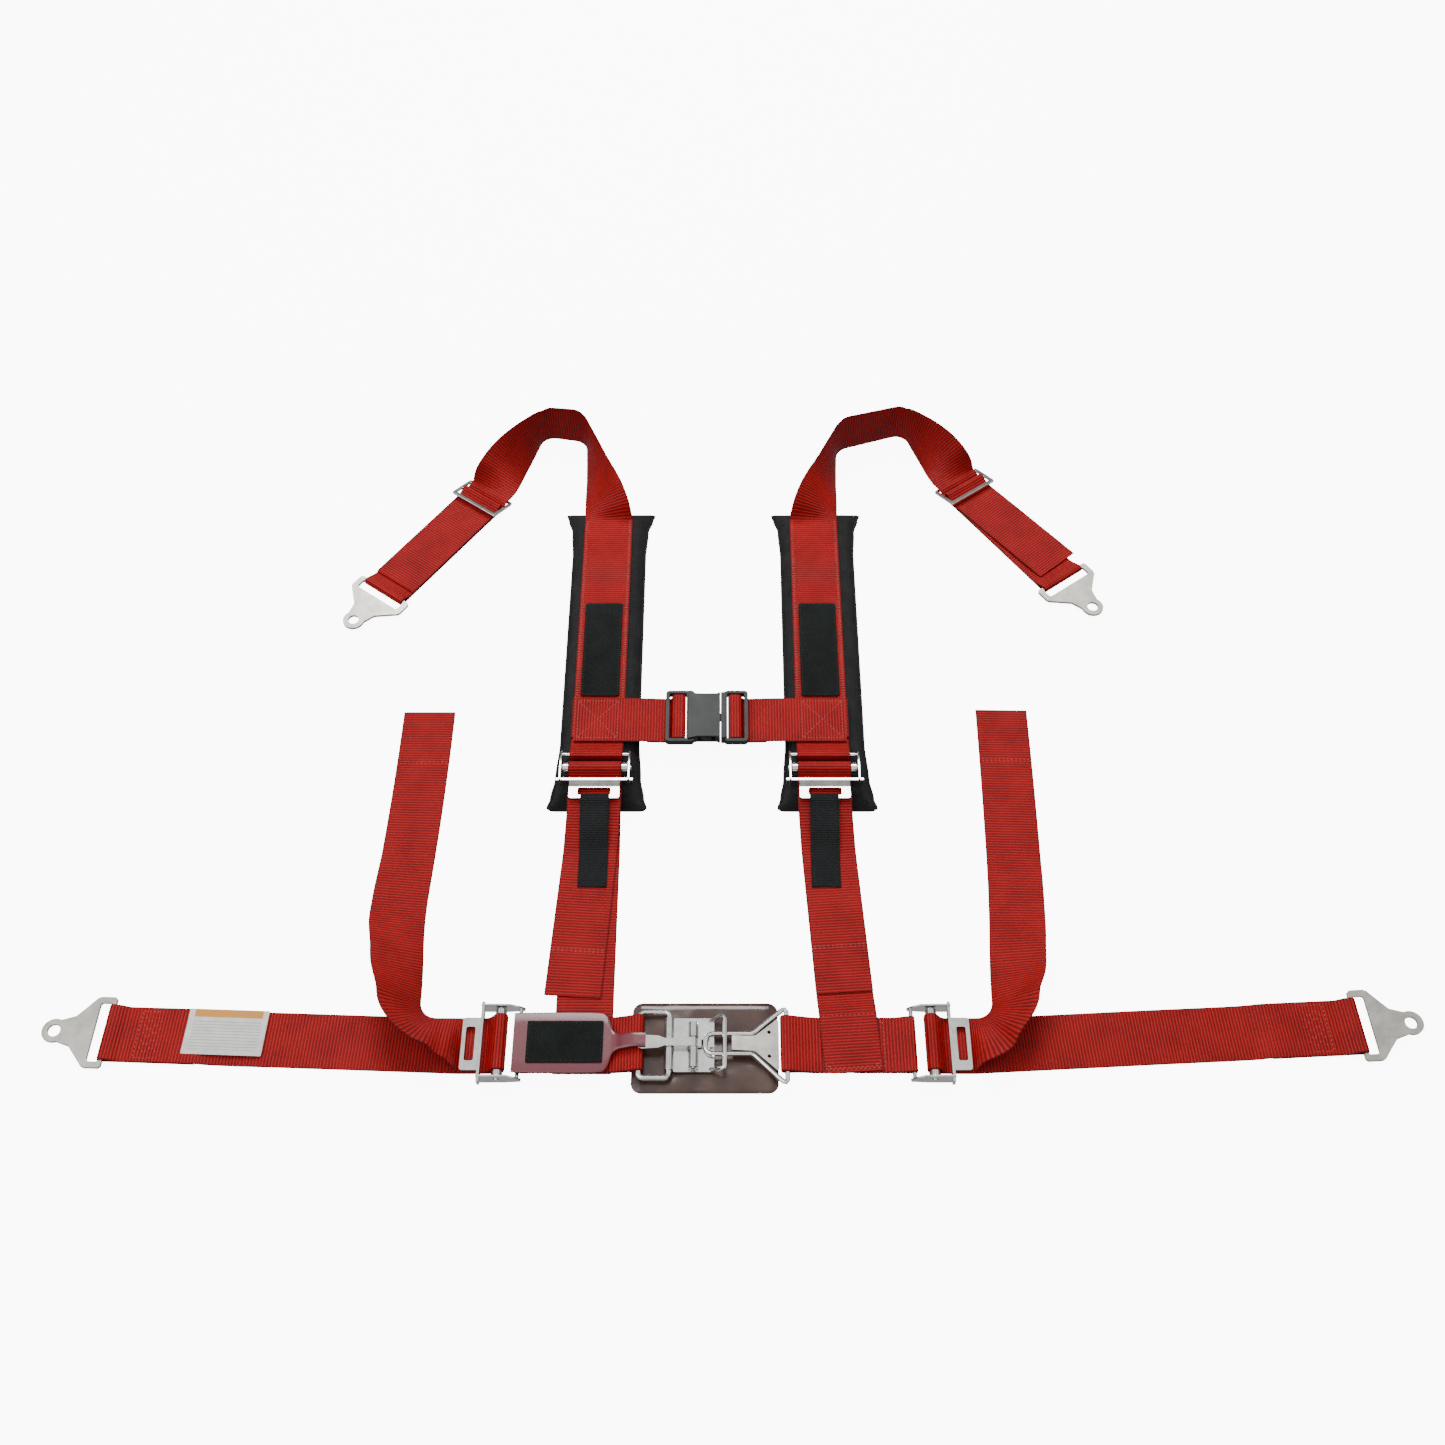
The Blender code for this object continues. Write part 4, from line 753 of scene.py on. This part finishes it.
def shoulder_pad(side):
    """A long foam pad in a black cover: flat under the strap, rounded and bound at its rim."""
    spec = SHOULDER[side]
    low, high, half, ear = (SHOULDER_PAD[key] for key in ("low", "high", "half", "ear"))
    thick = SHOULDER_PAD["thick"]
    keys = [(low, ear - 2.0), (low + 2, ear), (low + 12, ear - 3), (low + 35, half + 2.5), (low + 75, half),
            (high - 60, half), (high - 25, half + 2.0), (high - 8, ear - 2.5), (high - 1.5, ear),
            (high, ear - 3)]
    rows = 96
    ys = [low + (high - low) * (0.5 - 0.5 * math.cos(math.pi * i / rows)) * 0.5
          + (high - low) * (i / rows) * 0.5 for i in range(rows + 1)]
    across = [-1.0, -0.985, -0.95, -0.90, -0.84, -0.76, -0.66, -0.5, -0.25, 0.0]
    across += [-c for c in reversed(across[:-1])]
    wide = len(across)
    seed = Vector((0.0, 0.0, 3.0 if side == "left" else 11.0))

    def half_at(y):
        return eased(keys, y)

    def top_at(y, c):
        edge = min((1.0 - abs(c)) * half_at(y), (y - low) * 1.15, (high - y) * 1.15)
        crown = max(0.0, min(edge / 13.0, 1.0))
        height = 2.0 + (thick - 2.0) * (1.0 - (1.0 - crown) ** 2.4)
        x = spec["pad_x"] + c * half_at(y)
        free = max(0.0, min((abs(x - spec["x"]) - 26.0) / 5.0, 1.0))
        wrinkle = noise.noise(Vector((x * 0.045, y * 0.055, 0)) + seed)
        wrinkle += 0.5 * noise.noise(Vector((x * 0.12, y * 0.16, 5)) + seed)
        seam = math.exp(-((edge - 4.4) / 0.9) ** 2) * 1.5
        return height - 0.15 + free * min(crown * 2, 1.0) * (wrinkle * 1.1 - 0.6) - seam * 0.9

    vertices = []
    for y in ys:
        for c in across:
            ripple = 0.9 * noise.noise(Vector((c * 2, y * 0.06, 2)) + seed) * max(0.0, abs(c) - 0.8) / 0.2
            vertices.append(Vector((spec["pad_x"] + c * (half_at(y) - 1.6) + ripple, y, top_at(y, c))) * MM)
    lower = [Vector((v.x, v.y, 0.25 * MM + max(0.0, (abs(c) - 0.93)) * 18 * MM))
             for v, c in zip(vertices, across * (rows + 1))]
    faces = []
    for i in range(rows):
        for k in range(wide - 1):
            a = i * wide + k
            faces.append((a, a + 1, a + wide + 1, a + wide))
            faces.append(tuple(j + len(vertices) for j in (a + wide, a + wide + 1, a + 1, a)))
    rim = list(range(wide)) + [(i + 1) * wide + wide - 1 for i in range(rows)]
    rim += [rows * wide + k for k in range(wide - 2, -1, -1)] + [i * wide for i in range(rows - 1, 0, -1)]
    for a, b in zip(rim, rim[1:] + rim[:1]):
        faces.append((b, a, a + len(vertices), b + len(vertices)))
    mesh = bpy.data.meshes.new(f"shoulder_pad_{side}")
    mesh.from_pydata(vertices + lower, [], faces)
    facing_out(mesh)
    rounded(mesh)
    node = f"shoulder_pad_{side}"
    pad = finish_piece(f"shoulder_pad_cover_{side}", mesh, CANVAS, "harness", (node,))
    binding = bpy.data.curves.new(f"pad_binding_{side}", "CURVE")
    binding.dimensions = "3D"
    binding.bevel_depth = 1.5 * MM
    binding.bevel_resolution = 3
    route = [(spec["pad_x"] + way * (half_at(y) - 1.5), y)
             for way, order in ((1, ys), (-1, ys[::-1])) for y in order]
    line = binding.splines.new("POLY")
    line.points.add(len(route) - 1)
    for point, (x, y) in zip(line.points, route):
        y = min(max(y, low + 1.5), high - 1.5)
        lift = 3.4 + 0.7 * noise.noise(Vector((x * 0.05, y * 0.05, 1)) + seed)
        point.co = (x * MM, y * MM, lift * MM, 1.0)
    line.use_cyclic_u = True
    drawn = bpy.data.objects.new("drawn", binding)
    bpy.context.scene.collection.objects.link(drawn)
    made = bpy.data.meshes.new_from_object(drawn.evaluated_get(bpy.context.evaluated_depsgraph_get()))
    bpy.data.objects.remove(drawn, do_unlink=True)
    rounded(made)
    finish_piece(f"pad_binding_{side}", made, CANVAS, "harness")
    x = spec["x"]
    strap_top = thick + GAP + WEB
    patch(f"hook_patch_cloth_{side}", x - 19, 362.0, x + 19, 478.0, strap_top + GAP, 1.3, PILE, "harness",
          (f"hook_patch_{side}",), None, 3.0)
    runs = box_runs(x - 17.2, 363.8, x + 17.2, 476.2, False)
    stitches(f"hook_patch_stitching_{side}", runs, strap_top + GAP + 1.3, BLACK_THREAD, "harness")


def sternum(side):
    spec = SHOULDER[side]
    away = -1.0 if side == "left" else 1.0
    x = spec["x"]
    patch_z = SHOULDER_PAD["thick"] + GAP + WEB + LAYER + GAP
    low_y, high_y = STERNUM_Y - 20.0, STERNUM_Y + 26.5
    node = f"sternum_patch_{side}"
    turned = Matrix.Translation((x, (low_y + high_y) / 2, 0)) @ Matrix.Rotation(math.radians(90), 4, "Z")
    reach = (high_y - low_y) / 2
    patch(f"sternum_patch_cloth_{side}", -reach, -26.0, reach, 26.0, patch_z, WEB, RED, "harness",
          (node,), turned, 1.5)
    stitches(f"sternum_patch_stitching_{side}", box_runs(x - 23.5, low_y + 2, x + 23.5, high_y - 2, False),
             patch_z + WEB, RED_THREAD, "harness")
    at = place(0.0, STERNUM_Y, 0.0 if away > 0 else 180.0)
    strap_z = patch_z + WEB + GAP + WEB / 2
    bar, radius, play = 24.0, 2.9, 6.6
    under = CHEST_Z - 3.5 - 0.6 - WEB / 2
    path = [(abs(x) + 23, strap_z), (abs(x) - 20, strap_z), (66.0, strap_z - 0.2), (44.0, under),
            (35.6, under), (34.0, under + 2.2)]
    path += arc(bar + play, CHEST_Z, radius, 14, 90, 4)
    path += arc(bar, CHEST_Z, radius, 90, 270, 9)
    path += [(bar + play, CHEST_Z - radius), (31.8, under - 0.3), (34.6, under - LAYER - 0.1),
             (44.0, under - LAYER), (58.0, under - LAYER + 0.6)]
    node = f"sternum_strap_{side}"
    swept(f"sternum_webbing_{side}", flat_run(at, path), RED, "harness", (node,))
    stitches(f"sternum_stitching_{side}", box_runs(abs(x) - 19, -SEAM, abs(x) + 20, SEAM),
             strap_z + WEB / 2, RED_THREAD, "harness", at)


def release_tab():
    path = [(51.0, 15.8, 6.5), (62.0, 15.8, 6.5), (70.0, 13.4, 7.0), (77.0, 10.2, 8.0), (80.5, 9.5, 12.0),
            (83.0, 9.4, 21.0), (87.0, 9.4, 26.0), (92.0, 9.4, 27.2), (166.0, 9.4, 27.2)]
    swept("release_tab_sheet", flat_run(place(0, BELT_Y, 180.0), path), TINTED, "lever",
          ("release_tab",), 1.4, spacing=2.0)
    patch("release_tab_pile", -154.0, -17.5, -88.0, 20.5, 10.4, 1.2, PILE, "lever",
          ("release_tab_patch",), None, 1.5)
    stitches("release_tab_stitching", box_runs(-152.4, -15.9, -89.6, 18.9, False), 11.6, BLACK_THREAD,
             "lever")


def backing_pad():
    """A flat pillow of glossy sheet, welded round its rim."""
    length, width, thick = PAD_SIZE
    shape = bmesh.new()
    nx, ny = 60, 40
    bmesh.ops.create_grid(shape, x_segments=nx, y_segments=ny, size=1.0)
    for vertex in shape.verts:
        u, v = vertex.co.x, vertex.co.y
        x, y = u * length / 2, v * width / 2
        cx, cy = length / 2 - PAD_CORNER, width / 2 - PAD_CORNER
        ox, oy = abs(x) - cx, abs(y) - cy
        if ox > 0 and oy > 0:
            far = max(ox, oy)
            reach = math.hypot(ox, oy)
            x = math.copysign(cx + ox * far / reach, x)
            y = math.copysign(cy + oy * far / reach, y)
        rim = min(1.0 - abs(u), 1.0 - abs(v)) * 40.0
        soft = max(0.0, min(rim / 6.0, 1.0))
        lump = noise.noise(Vector((x * 0.06, y * 0.06, 4.0))) * 0.28
        vertex.co = Vector((x, y, 0.9 + (thick - 1.15) * (1 - (1 - soft) ** 2) + lump * soft)) * MM
    solid = bmesh.ops.extrude_face_region(shape, geom=shape.faces[:])
    for item in solid["geom"]:
        if isinstance(item, bmesh.types.BMVert):
            item.co.z = 0.15 * MM
    bmesh.ops.recalc_face_normals(shape, faces=shape.faces)
    mesh = written(shape, "backing_pad_cover")
    smooth(mesh, 60.0)
    made = finish_piece("backing_pad_cover", mesh, VINYL, "harness", ("backing_pad",))


def care_label():
    spec = LAP["left"]
    at = bent(place(*spec["lock"], spec["heading"]), SLANT_FROM, spec["slant"])
    turned = at @ Matrix.Translation((240.0, -4.4, 0.0)) @ Matrix.Rotation(math.pi, 4, "Z")
    patch("care_label_cloth", -35.0, -21.0, 35.0, 21.0, 3.1, 0.4, LABEL, "care_label",
          ("care_label",), turned, 0.8)


for belt_side in ("left", "right"):
    lap_belt(belt_side)
    lower_strap(belt_side)
    shoulder_strap(belt_side)
    shoulder_pad(belt_side)
    pull_tab(belt_side)
    sternum(belt_side)
inner_strap("left", RING, LAP["left"]["lock"][0] + CROSS_BAR_X)
inner_strap("right", LINK, LAP["right"]["lock"][0] - CROSS_BAR_X)
release_tab()
backing_pad()
care_label()

# Metal and plastic nodes, with the width of their softened edges; the first table's come in pairs.
PAIRS = ((CHROME, 0.35, ("lap_adjuster_frame", "shoulder_adjuster_frame")),
         (CHROME, 0.3, ("lap_adjuster_bar", "shoulder_adjuster_bar")),
         (CHROME, 0.7, ("shoulder_slide",)),
         (ZINC, 0.6, ("lap_anchor", "shoulder_anchor")))
SINGLES = ((CHROME, 0.1, ("webbing_ring", "link_ring")),
           (CHROME, 0.4, ("latch_base", "latch_lever")),
           (CHROME, 0.3, ("lever_pin",)),
           (ZINC, 0.35, ("link_plate",)),
           (PLASTIC, 0.8, ("chest_buckle_housing", "chest_buckle_insert")),
           (PLASTIC, 0.5, ("chest_buckle_prong_front", "chest_buckle_prong_rear")))
for finish, bevel_width, stems in PAIRS:
    for stem in stems:
        for belt_side in ("left", "right"):
            refined(f"{stem}_{belt_side}", finish, bevel_width)
for finish, bevel_width, names in SINGLES:
    for single in names:
        refined(single, finish, bevel_width)


# ---------------------------------------------------------------- studio
FLOOR_HALF = 6.0               # metres, like everything in the studio
FLOOR_DROP = 0.0004
# Brightness of the surroundings by height: dark towards the horizon, bright overhead, with one dark
# band that draws lines in the chrome.
SKY = ((0.30, 0.10), (0.48, 0.22), (0.62, 1.0), (0.80, 1.0), (0.86, 0.25), (0.92, 0.95))
SKY_STRENGTH = 1.15
# name, position, size of the square lamp, power in watts
LAMPS = (("key", (-0.1, 2.0, 2.2), 1.3, 60.0), ("fill", (-1.2, -0.2, 1.8), 1.6, 14.0))
LAMP_TARGET = (0.0, 0.3, 0.0)


def studio_floor():
    """A glowing white floor, left out of diffuse and glossy light so that it doesn't light the pieces."""
    ground = bpy.data.meshes.new("floor")
    corners = [(-1, -1), (1, -1), (1, 1), (-1, 1)]
    ground.from_pydata([(x * FLOOR_HALF, y * FLOOR_HALF, 0) for x, y in corners], [], [(0, 1, 2, 3)])
    floor = bpy.data.objects.new("floor", ground)
    floor.location.z = -FLOOR_DROP
    paper = Look("floor_paper", (0.95, 0.95, 0.95), 0.9, Specular_IOR_Level=0.05,
                 Emission_Color=(1.0, 1.0, 1.0, 1.0), Emission_Strength=9.0)
    ground.materials.append(paper.material)
    bpy.context.scene.collection.objects.link(floor)
    floor.visible_diffuse = False
    floor.visible_glossy = False


def studio_world():
    world = bpy.data.worlds.new("studio")
    world.use_nodes = True
    nodes, links = world.node_tree.nodes, world.node_tree.links
    direction = nodes.new("ShaderNodeTexCoord")
    axes = nodes.new("ShaderNodeSeparateXYZ")
    sky = nodes.new("ShaderNodeValToRGB")
    links.new(direction.outputs["Generated"], axes.inputs[0])
    links.new(axes.outputs["Z"], sky.inputs["Fac"])
    sky.color_ramp.elements[0].color = (0.35, 0.35, 0.36, 1.0)
    sky.color_ramp.elements[1].color = (1.0, 1.0, 1.0, 1.0)
    for at, grey in SKY:
        sky.color_ramp.elements.new(at).color = (grey, grey, grey, 1.0)
    background = nodes["Background"]
    links.new(sky.outputs["Color"], background.inputs["Color"])
    background.inputs["Strength"].default_value = SKY_STRENGTH
    bpy.context.scene.world = world


def studio_lamps():
    for name, where, size, power in LAMPS:
        light = bpy.data.lights.new(name, "AREA")
        light.size = size
        light.energy = power
        lamp = bpy.data.objects.new(name, light)
        lamp.location = where
        aim = Vector(LAMP_TARGET) - Vector(where)
        lamp.rotation_euler = aim.to_track_quat("-Z", "Y").to_euler()
        bpy.context.scene.collection.objects.link(lamp)


def studio_camera():
    camera = bpy.data.cameras.new("camera")
    camera.lens = 39.8
    camera.sensor_width = 36.0
    viewer = bpy.data.objects.new("camera", camera)
    viewer.location = (0.0152, -0.5410, 1.3074)
    viewer.rotation_euler = (math.radians(34.0), 0.0, 0.0)
    bpy.context.scene.collection.objects.link(viewer)
    bpy.context.scene.camera = viewer


studio_floor()
studio_world()
studio_lamps()
studio_camera()
